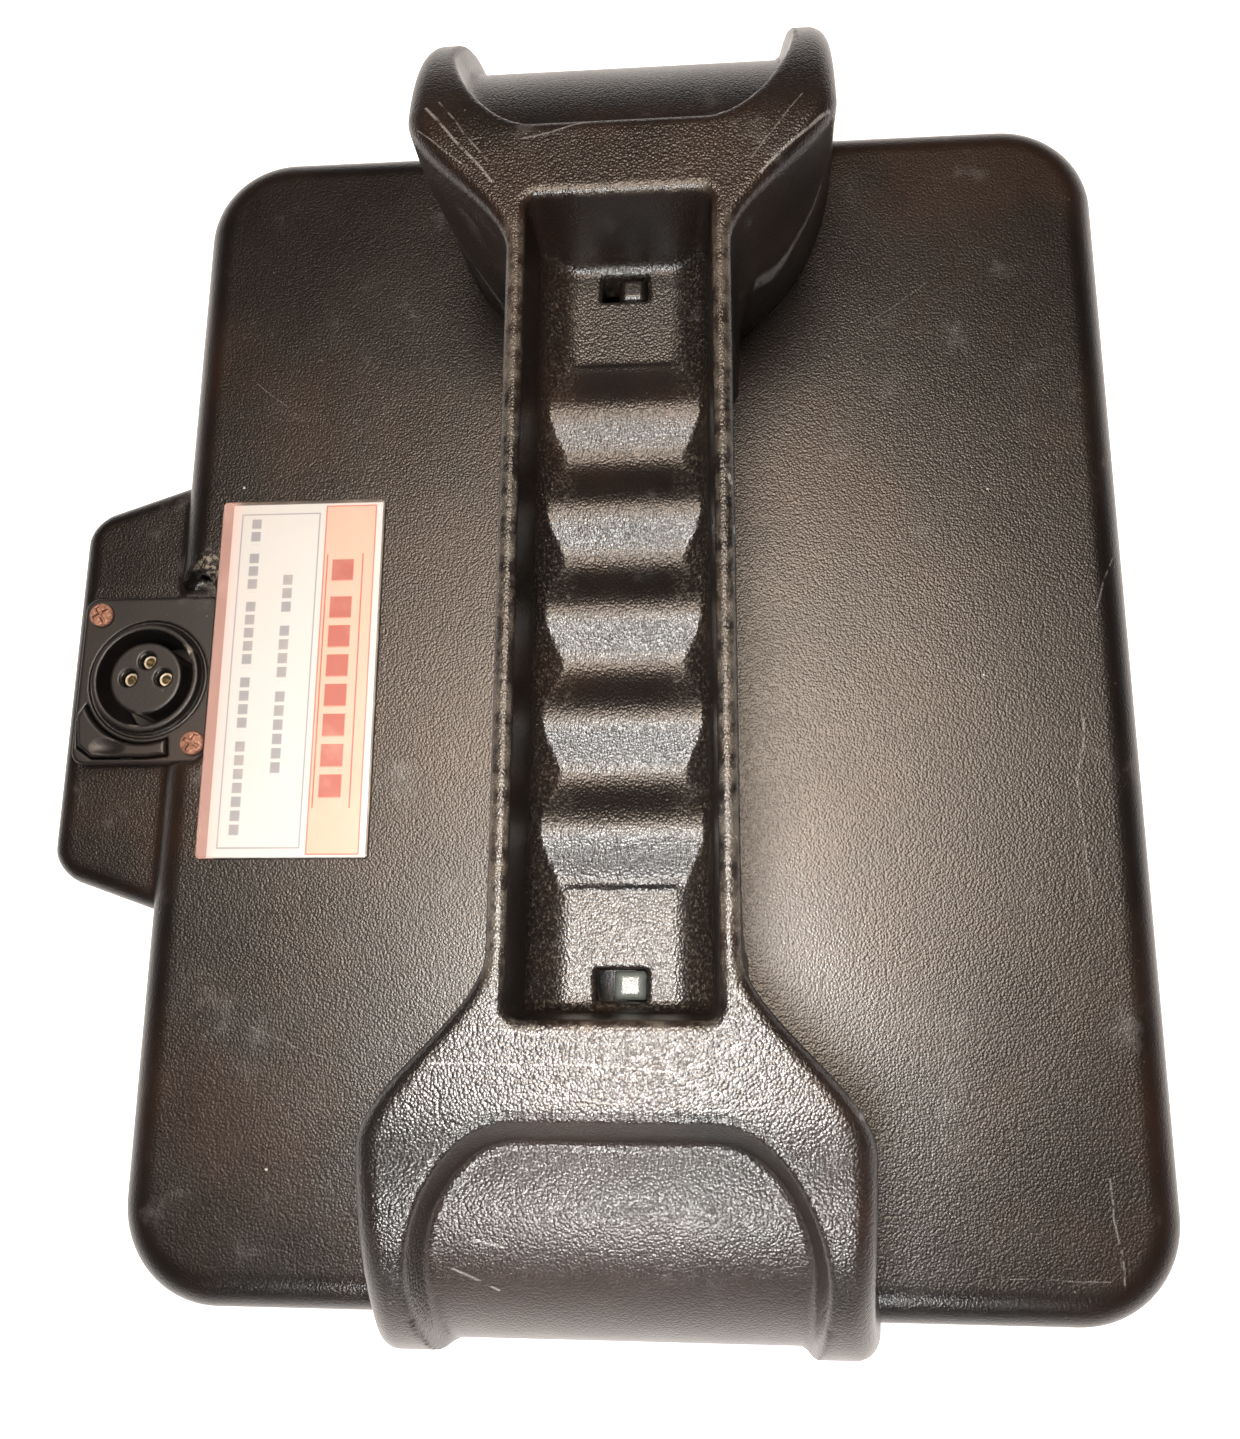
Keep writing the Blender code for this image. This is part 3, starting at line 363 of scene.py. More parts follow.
def cell_points(value, axes, cells):
    """One point in each crossed cell: the mean of where the surface crosses its edges."""
    total = np.zeros((len(cells), 3))
    hits = np.zeros(len(cells))
    for axis in range(3):
        others = [a for a in range(3) if a != axis]
        for shift in range(4):
            start = cells.copy()
            start[:, others[0]] += shift & 1
            start[:, others[1]] += shift >> 1
            end = start.copy()
            end[:, axis] += 1
            first, last = value[tuple(start.T)], value[tuple(end.T)]
            crossed = (first < 0.0) != (last < 0.0)
            share = np.where(crossed, first / np.where(crossed, first - last, 1.0), 0.0)
            point = np.stack([axes[a][start[:, a]] for a in range(3)], axis=1)
            point[:, axis] += share * (axes[axis][end[:, axis]] - axes[axis][start[:, axis]])
            total += point * crossed[:, None]
            hits += crossed
    return total / hits[:, None]


def corners_inside(inside):
    """How many of each cell's eight corners are inside."""
    size_x, size_y, size_z = (size - 1 for size in inside.shape)
    count = np.zeros((size_x, size_y, size_z), np.int8)
    for i in (0, 1):
        for j in (0, 1):
            for k in (0, 1):
                count += inside[i : i + size_x, j : j + size_y, k : k + size_z]
    return count


def cell_faces(inside, index):
    """A face for each grid edge that the surface crosses, between the four cells round it."""
    faces = []
    for axis in range(3):
        second, third = (axis + 1) % 3, (axis + 2) % 3
        here = np.moveaxis(inside, (axis, second, third), (0, 1, 2))
        cells = np.moveaxis(index, (axis, second, third), (0, 1, 2))
        crossed = here[:-1, 1:-1, 1:-1] != here[1:, 1:-1, 1:-1]
        i, j, k = np.nonzero(crossed)
        ring = [cells[i, j, k], cells[i, j + 1, k], cells[i, j + 1, k + 1], cells[i, j, k + 1]]
        ring = np.stack(ring, axis=1)
        outward = here[i, j + 1, k + 1]
        ring[~outward] = ring[~outward][:, ::-1]
        faces.append(ring)
    return np.concatenate(faces)


def slope(field, points, step=0.04):
    """Gradient of a field at points."""
    columns = []
    for axis in range(3):
        ahead, behind = points.copy(), points.copy()
        ahead[:, axis] += step
        behind[:, axis] -= step
        columns.append((field(*ahead.T) - field(*behind.T)) / (2.0 * step))
    return np.stack(columns, axis=1)


def moulded(name, field, axes, finish, body="pack"):
    """A piece whose surface is the field's zero level."""
    value = field(*np.meshgrid(*axes, indexing="ij", sparse=True))
    inside = value < 0.0
    count = corners_inside(inside)
    cells = np.argwhere((count > 0) & (count < 8))
    index = np.full(count.shape, -1)
    index[tuple(cells.T)] = np.arange(len(cells))
    points = cell_points(value, axes, cells)
    for _ in range(3):
        gradient = slope(field, points)
        length = np.maximum((gradient**2).sum(axis=1), 0.05)
        move = np.clip(field(*points.T) / length, -0.4, 0.4)
        points = points - gradient * move[:, None]
    mesh = bpy.data.meshes.new(name)
    mesh.from_pydata(points * MM, [], cell_faces(inside, index))
    mesh.update()
    mesh.validate()
    mesh.shade_smooth()
    mesh.materials.append(finish)
    obj = bpy.data.objects.new(name, mesh)
    bpy.context.scene.collection.objects.link(obj)
    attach(obj, body)
    return obj


# ---------------------------------------------------------------- materials


class Graph:
    """A procedural material, with short calls for its nodes. Its place output is in millimetres."""

    def __init__(self, name, roughness=0.5, metallic=0.0, coat=0.0):
        self.material = bpy.data.materials.new(name)
        self.material.use_nodes = True
        self.tree = self.material.node_tree
        self.shader = self.tree.nodes["Principled BSDF"]
        self.shader.inputs["Roughness"].default_value = roughness
        self.shader.inputs["Metallic"].default_value = metallic
        self.shader.inputs["Coat Weight"].default_value = coat
        self.shader.inputs["Coat Roughness"].default_value = 0.08
        where = self.node("ShaderNodeTexCoord").outputs["Object"]
        self.place = self.vector("MULTIPLY", where, (1.0 / MM,) * 3)
        apart = self.node("ShaderNodeSeparateXYZ")
        self.feed(apart.inputs[0], self.place)
        self.x, self.y, self.z = apart.outputs

    def node(self, kind, **settings):
        made = self.tree.nodes.new(kind)
        for name, value in settings.items():
            setattr(made, name, value)
        return made

    def feed(self, socket, value):
        if isinstance(value, bpy.types.NodeSocket):
            self.tree.links.new(value, socket)
        else:
            socket.default_value = value

    def math(self, operation, a, b=0.0, c=0.0, clamp=False):
        made = self.node("ShaderNodeMath", operation=operation, use_clamp=clamp)
        for socket, value in zip(made.inputs, (a, b, c)):
            self.feed(socket, value)
        return made.outputs[0]

    def vector(self, operation, a, b=(0.0, 0.0, 0.0)):
        made = self.node("ShaderNodeVectorMath", operation=operation)
        self.feed(made.inputs[0], a)
        self.feed(made.inputs[1], b)
        return made.outputs["Value" if operation in ("LENGTH", "DOT_PRODUCT", "DISTANCE") else "Vector"]

    def stretched(self, factors):
        return self.vector("MULTIPLY", self.place, factors)

    def noise(self, size, detail=2.0, roughness=0.5, place=None, output="Fac"):
        """Noise whose features are about size millimetres across."""
        made = self.node("ShaderNodeTexNoise")
        self.feed(made.inputs["Vector"], place or self.place)
        made.inputs["Scale"].default_value = 1.0 / size
        made.inputs["Detail"].default_value = detail
        made.inputs["Roughness"].default_value = roughness
        return made.outputs[output]

    def cells(self, size, feature="F1", output="Distance", place=None):
        """Cells about size millimetres across."""
        made = self.node("ShaderNodeTexVoronoi", feature=feature)
        self.feed(made.inputs["Vector"], place or self.place)
        made.inputs["Scale"].default_value = 1.0 / size
        return made.outputs[output]

    def fade(self, value, start, end, low=0.0, high=1.0):
        """Smooth change from low to high as value goes from start to end."""
        made = self.node("ShaderNodeMapRange", interpolation_type="SMOOTHSTEP")
        for socket, number in zip(made.inputs, (value, start, end, low, high)):
            self.feed(socket, number)
        return made.outputs[0]

    def product(self, *values):
        total = values[0]
        for value in values[1:]:
            total = self.math("MULTIPLY", total, value)
        return total

    def most(self, *values):
        total = values[0]
        for value in values[1:]:
            total = self.math("MAXIMUM", total, value)
        return total

    def mix(self, a, b, share):
        """Colour from a to b by share."""
        made = self.node("ShaderNodeMix", data_type="RGBA")
        self.feed(made.inputs["Factor"], share)
        for socket, colour in ((made.inputs["A"], a), (made.inputs["B"], b)):
            self.feed(socket, colour if isinstance(colour, bpy.types.NodeSocket) else (*colour, 1.0))
        return made.outputs["Result"]

    def bump(self, height, strength=1.0):
        """Surface relief from a height in millimetres."""
        made = self.node("ShaderNodeBump")
        made.inputs["Strength"].default_value = strength
        made.inputs["Distance"].default_value = MM
        self.feed(made.inputs["Height"], height)
        self.feed(self.shader.inputs["Normal"], made.outputs["Normal"])

    def inside(self, low, high, value, soft=0.15):
        """One where value lies between low and high, with soft ends."""
        return self.product(
            self.fade(value, low - soft, low + soft),
            self.fade(value, high - soft, high + soft, 1.0, 0.0),
        )

    def stroke(self, start, end, width, place):
        """A thin line in plan from start to end."""
        ax, ay = start
        run = (end[0] - ax, end[1] - ay, 0.0)
        away = self.vector("SUBTRACT", place, (ax, ay, 0.0))
        length = run[0] ** 2 + run[1] ** 2
        share = self.math("DIVIDE", self.vector("DOT_PRODUCT", away, run), length, clamp=True)
        along = self.node("ShaderNodeVectorMath", operation="SCALE")
        along.inputs[0].default_value = run
        self.feed(along.inputs["Scale"], share)
        gap = self.vector("DISTANCE", away, along.outputs["Vector"])
        return self.fade(gap, width * 0.3, width, 1.0, 0.0)

    def strokes(self, lines):
        """Scratches: (start x, start y, end x, end y, width, strength) each, broken up by noise."""
        flat = self.stretched((1.0, 1.0, 0.0))
        shake = self.vector("SUBTRACT", self.noise(9.0, 1.0, output="Color", place=flat), (0.5, 0.5, 0.5))
        place = self.vector("ADD", flat, self.vector("MULTIPLY", shake, WOBBLE))
        total = 0.0
        for ax, ay, bx, by, width, strength in lines:
            line = self.product(self.stroke((ax, ay), (bx, by), width, place), strength)
            total = self.most(total, line)
        return self.product(total, self.fade(self.noise(1.7, 2.0), 0.34, 0.52))


WOBBLE = (1.3, 1.3, 0.0)  # how far a scratch strays from its straight line
BLACK = (0.0052, 0.0040, 0.0035)
BROWN = (0.0165, 0.0085, 0.0055)
DUST = (0.30, 0.26, 0.21)
WORN = (0.33, 0.32, 0.31)
PALE_SPECK = (0.55, 0.53, 0.49)
# Grey painted on the -Y catch post as a highlight, standing in for light falling on it
PAINTED_CATCH_HIGHLIGHT_GREY = (0.080, 0.092, 0.085)


def black_plastic(name, grain, roughness, dust, scratches=(), pale=None):
    """Black pebbled ABS: grain, faint brown clouding, rubbed patches, specks and scratches."""
    g = Graph(name)
    cloud = g.noise(38.0, 3.0, 0.6)
    patch = g.noise(11.0, 4.0, 0.65)
    colour = g.mix(BLACK, BROWN, g.fade(cloud, 0.42, 0.66, 0.0, 0.75))
    worn = g.product(g.fade(patch, 0.60, 0.78), 0.10)
    colour = g.mix(colour, WORN, worn)
    dots = g.cells(13.0, output="Distance")
    picked = g.fade(g.math("ADD", dots, g.product(g.noise(0.6), 0.04)), 0.030, 0.042, 1.0, 0.0)
    colour = g.mix(colour, PALE_SPECK, g.product(picked, 0.55))
    fine = g.cells(3.1)
    lint = g.product(g.fade(fine, 0.035, 0.06, 1.0, 0.0), g.fade(g.noise(16.0, 2.0), 0.52, 0.62))
    colour = g.mix(colour, DUST, g.product(lint, 0.30))
    rough = g.math("ADD", roughness - 0.05, g.product(patch, 0.12))
    settled = dust(g)
    colour = g.mix(colour, DUST, settled)
    rough = g.math("ADD", rough, g.product(settled, 0.5))
    # Painted highlight: where asked, a pale grey is painted in place of light falling on a part
    if pale:
        colour = g.mix(colour, PAINTED_CATCH_HIGHLIGHT_GREY, pale(g))
    if scratches:
        line = g.strokes(scratches)
        colour = g.mix(colour, WORN, line)
        rough = g.math("SUBTRACT", rough, g.product(line, 0.08))
    g.feed(g.shader.inputs["Base Color"], colour)
    g.feed(g.shader.inputs["Roughness"], rough)
    bend = g.vector("MULTIPLY", g.noise(0.8, 1.0, output="Color"), (0.2, 0.2, 0.2))
    bent = g.vector("ADD", g.place, bend)
    pebble = g.cells(0.40, place=bent)
    height = g.product(pebble, -0.042 * grain)
    height = g.math("ADD", height, g.product(g.noise(0.22, 1.0), 0.014 * grain))
    height = g.math("ADD", height, g.product(g.noise(24.0, 1.0), 0.10))
    g.bump(height)
    return g.material


def painted_catch_highlight(g):
    """Painted highlight: the catch post in the channel's -Y window is painted paler grey, as if lit; the
    same post at +Y keeps the black.
    """
    return g.product(g.fade(g.z, 138.0, 141.0), g.fade(g.y, -1.0, 1.0, 1.0, 0.0))


def rim_wear(g):
    """Handle rims rubbed pale by hands."""
    side = g.math("ABSOLUTE", g.x)
    rim = g.product(g.inside(13.6, 16.6, side, 0.3), g.fade(g.z, 168.6, 169.6))
    rim = g.product(rim, g.fade(g.math("ABSOLUTE", g.y), 50.0, 57.0, 1.0, 0.0))
    lip = g.product(g.inside(57.6, 60.0, g.math("ABSOLUTE", g.y), 0.5), g.fade(g.z, 168.6, 169.6))
    lip = g.product(lip, g.fade(side, 12.0, 14.0, 1.0, 0.0))
    return g.product(g.most(rim, lip), g.fade(g.noise(2.4, 4.0, 0.6), 0.36, 0.66), 0.16)


def channel_dust(g):
    """Dust along the channel's lower corners and on its walls, and the worn rims."""
    side = g.math("ABSOLUTE", g.x)
    inner = g.fade(g.math("ABSOLUTE", g.y), 57.0, 58.4, 1.0, 0.0)
    hollow = g.product(g.inside(7.5, 13.4, side, 1.2), g.fade(g.z, 153.0, 168.0, 1.0, 0.25), inner)
    ends = g.inside(54.0, 58.3, g.math("ABSOLUTE", g.y), 1.5)
    ends = g.product(ends, g.fade(g.z, 153.0, 163.0, 1.0, 0.0))
    speckle = g.fade(g.noise(0.5, 4.0, 0.8), 0.50, 0.70)
    return g.most(g.product(g.most(hollow, ends), speckle, 0.24), rim_wear(g))


def socket_grease(g):
    """Old grease in the gap between the socket's cup and its insert."""
    flat = g.stretched((1.0, 1.0, 0.0))
    total = 0.0
    for x, y, radius in ((7.1, 4.2, 1.9), (-0.9, -7.7, 1.7), (-7.2, 2.4, 1.0)):
        away = g.vector("DISTANCE", flat, (SOCKET_X + x, SOCKET_Y + y, 0.0))
        total = g.most(total, g.fade(away, radius * 0.4, radius, 1.0, 0.0))
    return g.product(total, g.fade(g.noise(1.1, 3.0), 0.35, 0.60), 0.75)


def case_dirt(g):
    """Whitish dirt beside the round notch of the socket's pocket."""
    flat = g.stretched((1.0, 1.0, 0.0))
    away = g.vector("DISTANCE", flat, (-76.2, 19.4, 0.0))
    patch = g.fade(away, 1.0, 4.5, 1.0, 0.0)
    return g.product(patch, g.fade(g.noise(0.9, 4.0, 0.7), 0.46, 0.62), 0.45)


def satin_plastic(name, base, roughness, height=0.012, size=0.5, mottle=0.25):
    """Plain moulded plastic with a fine grain and slight colour variation."""
    g = Graph(name)
    shade = g.fade(g.noise(7.0, 3.0), 0.3, 0.75, 0.0, mottle)
    g.feed(g.shader.inputs["Base Color"], g.mix(base, tuple(min(c * 2.2 + 0.01, 0.9) for c in base), shade))
    rough = g.math("ADD", roughness - 0.06, g.product(g.noise(3.0, 3.0), 0.14))
    g.feed(g.shader.inputs["Roughness"], rough)
    g.bump(g.product(g.noise(size, 2.0), height))
    return g.material


def brushed_metal(name, base, tarnish, roughness, share=0.4):
    """Plated metal with fine drawing lines and tarnish."""
    g = Graph(name, metallic=1.0)
    stain = g.product(g.fade(g.noise(1.8, 4.0, 0.7), 0.45, 0.68), share)
    g.feed(g.shader.inputs["Base Color"], g.mix(base, tarnish, stain))
    g.feed(g.shader.inputs["Roughness"], g.math("ADD", roughness, g.product(stain, 0.35)))
    g.bump(g.product(g.noise(0.3, 2.0, place=g.stretched((1.0, 1.0, 0.12))), 0.01))
    return g.material


def rusty_metal(name):
    """Copper-pink rusted screw head."""
    g = Graph(name)
    blotch = g.fade(g.noise(0.9, 4.0, 0.7), 0.38, 0.62)
    colour = g.mix((0.34, 0.17, 0.115), (0.13, 0.055, 0.03), blotch)
    pale = g.fade(g.noise(0.45, 3.0, 0.6), 0.60, 0.70, 0.0, 0.6)
    g.feed(g.shader.inputs["Base Color"], g.mix(colour, (0.50, 0.33, 0.27), pale))
    g.feed(g.shader.inputs["Metallic"], g.math("SUBTRACT", 0.55, g.product(blotch, 0.45)))
    g.feed(g.shader.inputs["Roughness"], g.math("ADD", 0.48, g.product(blotch, 0.35)))
    g.bump(g.product(g.noise(0.35, 4.0, 0.7), 0.09))
    return g.material


def foam_sheet(name):
    g = Graph(name, roughness=0.95)
    pores = g.cells(0.9, feature="SMOOTH_F1")
    g.feed(g.shader.inputs["Base Color"], g.mix((0.05, 0.05, 0.052), (0.16, 0.16, 0.16), pores))
    g.bump(g.product(pores, 0.25))
    return g.material


def label_print(name):
    """Printed film: pale panel, salmon band, thin frames and plain bars in place of words, with painted
    shade along its left edge.
    """
    g = Graph(name, roughness=0.36, coat=0.10)
    white, clear = (0.40, 0.395, 0.385), (0.055, 0.047, 0.041)
    salmon, red, grey = (0.50, 0.280, 0.215), (0.24, 0.036, 0.028), (0.135, 0.140, 0.155)

    def panel(x0, x1, y0, y1, soft=0.08):
        return g.product(g.inside(x0, x1, g.x, soft), g.inside(y0, y1, g.y, soft))

    def frame_line(x0, x1, y0, y1, width):
        hole = panel(x0 + width, x1 - width, y0 + width, y1 - width)
        return g.math("SUBTRACT", panel(x0, x1, y0, y1), hole, clamp=True)

    def word_bars(middle, height, pitch, runs):
        """A column of bars along Y, as (start, length) pairs, each cut into blocks of one pitch."""
        total = 0.0
        for start, length in runs:
            bar = panel(middle - height / 2.0, middle + height / 2.0, start - length, start, 0.12)
            share = g.math("FRACT", g.math("DIVIDE", g.math("SUBTRACT", start, g.y), pitch))
            total = g.most(total, g.product(bar, g.fade(share, 0.70, 0.80, 1.0, 0.0)))
        return total

    colour = g.mix(clear, white, panel(-72.6, -45.3, -32.8, 30.6))
    colour = g.mix(colour, salmon, panel(-55.6, -46.4, -32.4, 30.2))
    colour = g.mix(colour, grey, g.product(frame_line(-71.0, -56.6, -31.3, 28.9, 0.24), 0.75))
    colour = g.mix(colour, red, g.product(frame_line(-55.6, -46.4, -32.4, 30.2, 0.24), 0.7))
    title = word_bars(-52.0, 3.9, 5.3, ((20.0, 5.0), (13.1, 36.9)))
    rules = g.most(panel(-55.0, -54.75, -24.5, 21.0), panel(-48.6, -48.35, -24.5, 21.0))
    colour = g.mix(colour, red, g.product(g.most(title, rules), 0.85))
    lines = g.most(
        word_bars(-61.8, 1.7, 2.5, ((17.3, 7.5), (7.9, 10.0), (-4.0, 15.0))),
        word_bars(-68.2, 1.7, 2.4, ((27.9, 4.8), (21.4, 7.2), (12.4, 12.0), (-1.4, 9.6), (-12.8, 16.8))),
    )
    colour = g.mix(colour, grey, g.product(lines, 0.75))
    stain = g.fade(g.noise(9.0, 4.0, 0.6), 0.45, 0.8, 0.0, 0.22)
    colour = g.mix(colour, (0.50, 0.38, 0.31), stain)
    # Painted shade: a pinkish band along the left edge stands in for the film curling down over the
    # shoulder; the film itself is flat
    shade = g.fade(g.x, -73.0, -70.2, 0.45, 0.0)
    colour = g.mix(colour, (0.52, 0.29, 0.25), shade)
    g.feed(g.shader.inputs["Base Color"], colour)
    g.feed(g.shader.inputs["Roughness"], g.math("ADD", 0.26, g.product(g.noise(6.0, 3.0), 0.16)))
    g.bump(g.math("ADD", g.product(g.noise(11.0, 2.0), 0.12), g.product(g.noise(0.8, 2.0), 0.004)))
    return g.material


CASE_SCRATCHES = (
    (73.7, -10.5, 71.8, -20.5, 0.19, 0.28),
    (71.8, -20.5, 72.5, -39.8, 0.17, 0.25),
    (71.9, -81.9, 72.8, -97.3, 0.22, 0.25),
    (54.7, -96.0, 70.7, -96.3, 0.15, 0.19),
    (47.5, 0.1, 57.2, -3.5, 0.14, 0.15),
    (81.8, 20.6, 76.8, 8.3, 0.22, 0.19),
    (40.5, 62.0, 52.0, 70.5, 0.14, 0.12),
    (-70.5, 55.0, -61.0, 47.0, 0.15, 0.14),
    (-63.0, -60.5, -49.0, -66.0, 0.14, 0.14),
)
HANDLE_SCRATCHES = (
    (-29.0, 74.5, -17.8, 60.1, 0.28, 0.37),
    (-27.2, 75.6, -19.4, 64.5, 0.19, 0.25),
    (-30.2, 71.0, -22.0, 63.2, 0.17, 0.22),
    (20.7, 60.8, 31.1, 71.2, 0.28, 0.37),
    (22.8, 60.2, 31.6, 67.8, 0.19, 0.25),
    (19.4, 63.0, 27.0, 73.6, 0.17, 0.22),
    (-14.8, 67.8, -2.8, 70.9, 0.19, 0.31),
    (-2.8, 70.9, 12.0, 71.4, 0.19, 0.28),
    (-22.6, -64.1, -1.4, -63.9, 0.19, 0.34),
    (-1.4, -63.9, 8.5, -65.0, 0.19, 0.31),
    (8.5, -65.0, 18.3, -60.1, 0.19, 0.31),
    (-16.0, -59.4, -6.0, -60.6, 0.15, 0.25),
    (-12.5, -67.6, 2.0, -68.5, 0.15, 0.25),
    (10.5, -69.4, 22.0, -68.2, 0.17, 0.25),
    (28.4, -65.3, 30.6, -69.4, 1.10, 0.46),
    (-18.6, -86.4, -13.9, -87.5, 0.28, 0.37),
    (-21.8, -90.2, -15.7, -93.1, 0.25, 0.34),
    (15.7, 13.9, 15.9, 12.8, 0.37, 0.43),
    (16.2, 6.5, 16.1, 5.5, 0.37, 0.37),
)

FINISHES = {
    # The case finish carries the painted highlight on the -Y catch post
    "case_plastic": black_plastic("case_abs", 1.0, 0.29, case_dirt, CASE_SCRATCHES, painted_catch_highlight),
    "handle_plastic": black_plastic("handle_abs", 1.6, 0.30, channel_dust, HANDLE_SCRATCHES),
    "socket_plastic": black_plastic("socket_nylon", 0.25, 0.44, socket_grease),
    "rusty_screw": rusty_metal("rusted_steel"),
    "screw_steel": brushed_metal("zinc_steel", (0.55, 0.55, 0.53), (0.22, 0.16, 0.10), 0.32),
    "contact_brass": brushed_metal("nickel_brass", (0.72, 0.66, 0.52), (0.20, 0.15, 0.08), 0.28),
    "label_film": label_print("label_print"),
    "battery_container": satin_plastic("battery_abs", (0.035, 0.036, 0.04), 0.5),
    "battery_lid": satin_plastic("battery_lid_abs", (0.26, 0.27, 0.28), 0.5),
    "foam": foam_sheet("foam_sheet"),
    "fuse_plastic": satin_plastic("fuse_amber", (0.62, 0.27, 0.03), 0.25, mottle=0.1),
    "lead_red": satin_plastic("lead_insulation_red", (0.42, 0.02, 0.015), 0.42),
    "lead_black": satin_plastic("lead_insulation_black", (0.014, 0.014, 0.015), 0.42),
}


def finish_cad_nodes():
    """Each carried-over CAD node takes the finish of its slot in the record."""
    slot_of = {part["node"]: part["material_slot"] for part in frame["record"]["subparts"]}
    for name, obj in NODES.items():
        finish = FINISHES[slot_of[name]]
        for place in obj.material_slots:
            place.material = finish
        if not obj.material_slots:
            obj.data.materials.append(finish)


# ---------------------------------------------------------------- pieces


def make_cover():
    xs = graded(
        (COVER_LOW[0] - 1.5, 0.7), (-66.0, 2.4), (-3.0, 0.4), (5.5, 2.4), (66.0, 0.7),
        (COVER_HIGH[0] + 1.5, 1),
    )
    ys = graded(
        (COVER_LOW[1] - 1.5, 0.7), (-87.0, 2.2), (-57.5, 0.4), (-50.5, 1.2), (-44.0, 0.9),
        (42.0, 1.2), (50.5, 0.4), (57.5, 2.2), (87.0, 0.7), (COVER_HIGH[1] + 1.5, 1),
    )
    zs = graded(
        (COVER_LOW[2] - 1.2, 0.6), (56.0, 3.0), (98.0, 1.2), (112.0, 0.6), (126.0, 2.5),
        (CATCH_TOP + 1.0, 1),
    )
    cover = moulded("cover_shell", cover_field, (xs, ys, zs), FINISHES["case_plastic"])
    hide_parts("top_cover")


def make_handle():
    reach = HANDLE_HIGH + 1.6
    xs = graded((-reach[0], 0.75), (-13.4, 0.42), (13.4, 0.75), (reach[0], 1))
    ys = graded(
        (-reach[1], 0.75), (-57.6, 0.4), (-50.5, 0.55), (50.5, 0.4), (57.6, 0.75), (reach[1], 1),
    )
    zs = spread(HANDLE_LOW[2] - 1.6, HANDLE_HIGH[2] + 1.6, 0.75)
    finish = FINISHES["handle_plastic"]
    piece = moulded("handle_shell", handle_field, (xs, ys, zs), finish)
    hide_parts("handle")


def make_socket():
    low, high = SOCKET_LOW, SOCKET_HIGH
    zs = graded((low[2] - 0.8, 1.2), (high[2] - 5.0, 0.25), (high[2] + 0.7, 1))
    grid = (spread(low[0] - 0.7, high[0] + 0.7, 0.3), spread(low[1] - 0.7, high[1] + 0.7, 0.3), zs)
    shell = moulded("socket_shell", socket_field, grid, FINISHES["socket_plastic"])
    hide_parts("charge_socket_shell")
    low, high = INSERT_LOW, INSERT_HIGH
    zs = graded((low[2] - 0.6, 1.0), (high[2] - 2.0, 0.2), (high[2] + 0.6, 1))
    grid = (spread(low[0] - 0.5, high[0] + 0.5, 0.25), spread(low[1] - 0.5, high[1] + 0.5, 0.25), zs)
    insert = moulded("socket_core", insert_field, grid, FINISHES["socket_plastic"])
    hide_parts("socket_insert")
    low, high = TAB_LOW, TAB_HIGH
    grid = [spread(low[a] - 0.5, high[a] + 0.5, 0.2) for a in range(3)]
    tab = moulded("release_tab", tab_field, grid, FINISHES["socket_plastic"], "latch")
    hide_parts("latch_tab")
    for number, turn in ((1, 0.5), (2, 1.1)):
        node = f"socket_screw_{number}"
        low, high = corners(node)
        zs = graded((low[2] - 0.4, 0.8), (high[2] - 1.8, 0.12), (high[2] + 0.4, 1))
        grid = (spread(low[0] - 0.3, high[0] + 0.3, 0.13), spread(low[1] - 0.3, high[1] + 0.3, 0.13), zs)
        field, finish = screw_field(node, turn), FINISHES["rusty_screw"]
        screw = moulded(f"flange_screw_{number}", field, grid, finish)
        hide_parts(node)


def make_spring():
    """Coil under the release tab: a fixed helix spanning the CAD spring's height."""
    low, high = corners("latch_spring")
    wire = SPRING_WIRE
    steps, sides = 90, 8
    middle = (SOCKET_X + SPRING_X, SOCKET_Y + SPRING_Y)
    points = []
    for k in range(steps + 1):
        turn = 2.0 * math.pi * SPRING_TURNS * k / steps
        level = lerp(low[2] + wire, high[2] - wire, k / steps)
        for side in range(sides):
            round_wire = 2.0 * math.pi * side / sides
            reach = SPRING_R + wire * math.cos(round_wire)
            spot = (middle[0] + reach * math.cos(turn), middle[1] + reach * math.sin(turn))
            points.append((*spot, level + wire * math.sin(round_wire)))
    faces = [tuple(range(sides)), tuple(range(steps * sides + sides - 1, steps * sides - 1, -1))]
    for k in range(steps):
        for side in range(sides):
            near, far = k * sides + side, k * sides + (side + 1) % sides
            faces.append((near, near + sides, far + sides, far))
    mesh = bpy.data.meshes.new("coil_spring")
    mesh.from_pydata([tuple(c * MM for c in p) for p in points], [], faces)
    mesh.shade_smooth()
    mesh.materials.append(FINISHES["screw_steel"])
    obj = bpy.data.objects.new("coil_spring", mesh)
    bpy.context.scene.collection.objects.link(obj)
    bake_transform(obj)
    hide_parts("latch_spring")


def label_field(x, y, z):
    """Thin flat film with round corners."""
    middle = (LABEL_LOW + LABEL_HIGH) / 2.0
    half = (LABEL_HIGH - LABEL_LOW) / 2.0
    plan = rounded_plan(x - middle[0], y - middle[1], half[0], half[1], 0.8)
    return overlap(plan, np.abs(z - middle[2]) - half[2], 0.1)


def make_label():
    low, high = LABEL_LOW, LABEL_HIGH
    zs = spread(low[2] - 0.2, high[2] + 0.2, 0.1)
    edge = 2.0
    plan = []
    for a in (0, 1):
        near, far = (low[a] - 0.3, 0.2), (high[a] + 0.3, 1)
        plan.append(graded(near, (low[a] + edge, 1.0), (high[a] - edge, 0.2), far))
    film = moulded("label_sheet", label_field, (*plan, zs), FINISHES["label_film"])
    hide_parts("label")


# ---------------------------------------------------------------- stage, lights and camera


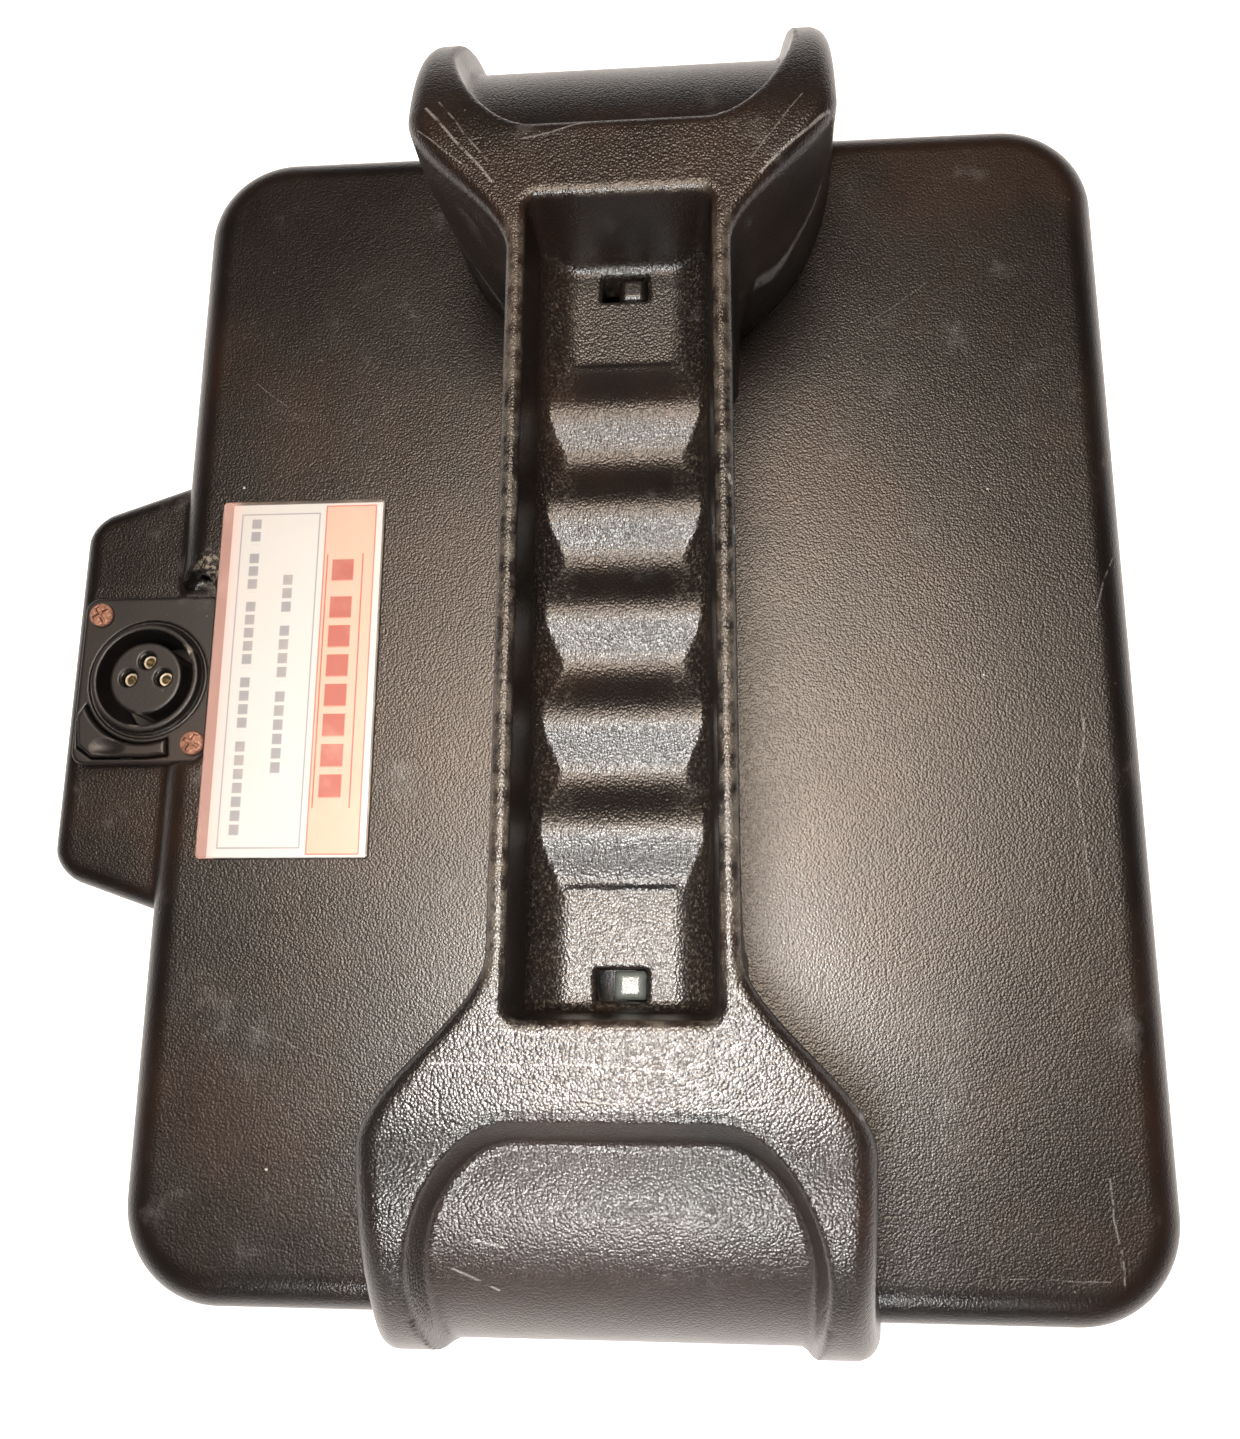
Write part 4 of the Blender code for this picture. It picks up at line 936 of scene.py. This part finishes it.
def make_stage():
    """Pale floor: a wide plane with a faint mottle."""
    half = 3.0
    outline = [(-half, -half, 0), (half, -half, 0), (half, half, 0), (-half, half, 0)]
    mesh = bpy.data.meshes.new("floor")
    mesh.from_pydata(outline, [], [(0, 1, 2, 3)])
    g = Graph("floor_paper", roughness=0.9)
    g.feed(g.shader.inputs["Base Color"], g.mix((0.90, 0.91, 0.93), (0.93, 0.94, 0.96), g.noise(60.0, 3.0)))
    g.shader.inputs["Emission Color"].default_value = (1.0, 1.0, 1.0, 1.0)
    g.shader.inputs["Emission Strength"].default_value = 0.85
    mesh.materials.append(g.material)
    floor = bpy.data.objects.new("floor", mesh)
    floor.location.z = -0.0004
    bpy.context.scene.collection.objects.link(floor)


def area_light(name, place, target, size, watts, colour, beam=180.0):
    """Round softbox that faces target, with its beam narrowed to an angle in degrees."""
    data = bpy.data.lights.new(name, "AREA")
    data.shape = "DISK"
    data.size = size
    data.energy = watts
    data.spread = math.radians(beam)
    data.color = colour
    light = bpy.data.objects.new(name, data)
    light.location = place
    away = np.array(place) - np.array(target)
    pan = math.atan2(away[0], -away[1])
    tilt = math.atan2(math.hypot(away[0], away[1]), away[2])
    light.rotation_euler = Euler((tilt, 0.0, pan))
    bpy.context.scene.collection.objects.link(light)


def make_lights():
    """A small softbox over the handle, a large warm one overhead and a narrow one for the front pocket."""
    white, warm = (1.0, 0.99, 0.97), (1.0, 0.82, 0.67)
    handle, pocket = (0.003, -0.066, 0.0), (0.0, -0.085, 0.16)
    area_light("near_softbox", (-0.007, -0.075, 0.345), handle, 0.045, 0.70, white)
    area_light("ceiling_softbox", (-0.02, 0.17, 1.25), (0.0, 0.0, 0.1), 0.54, 16.0, warm)
    area_light("front_softbox", (-0.02, -0.42, 0.44), pocket, 0.12, 0.075, white, 24.0)
    world = bpy.data.worlds.new("studio")
    bpy.context.scene.world = world
    world.use_nodes = True
    tree = world.node_tree
    back = tree.nodes["Background"]
    where = tree.nodes.new("ShaderNodeTexCoord")
    apart = tree.nodes.new("ShaderNodeSeparateXYZ")
    ramp = tree.nodes.new("ShaderNodeValToRGB")
    tree.links.new(where.outputs["Generated"], apart.inputs[0])
    tree.links.new(apart.outputs["Z"], ramp.inputs["Fac"])
    tree.links.new(ramp.outputs["Color"], back.inputs["Color"])
    ramp.color_ramp.elements[0].color = (0.25, 0.25, 0.26, 1.0)
    ramp.color_ramp.elements[0].position = 0.08
    ramp.color_ramp.elements[1].color = (0.016, 0.011, 0.008, 1.0)
    ramp.color_ramp.elements[1].position = 0.42
    back.inputs["Strength"].default_value = 1.0


def make_camera():
    """Camera above the case's front half, looking down and slightly back."""
    data = bpy.data.cameras.new("camera")
    data.lens = 31.1
    data.clip_start = 0.01
    camera = bpy.data.objects.new("camera", data)
    camera.location = (0.01338, -0.05719, 0.32783)
    camera.rotation_euler = Euler([math.radians(a) for a in (13.13, 4.46, 0.34)])
    bpy.context.scene.collection.objects.link(camera)
    bpy.context.scene.camera = camera


finish_cad_nodes()
make_cover()
make_handle()
make_socket()
make_spring()
make_label()
make_stage()
make_lights()
make_camera()
bpy.context.scene.view_settings.view_transform = "Standard"
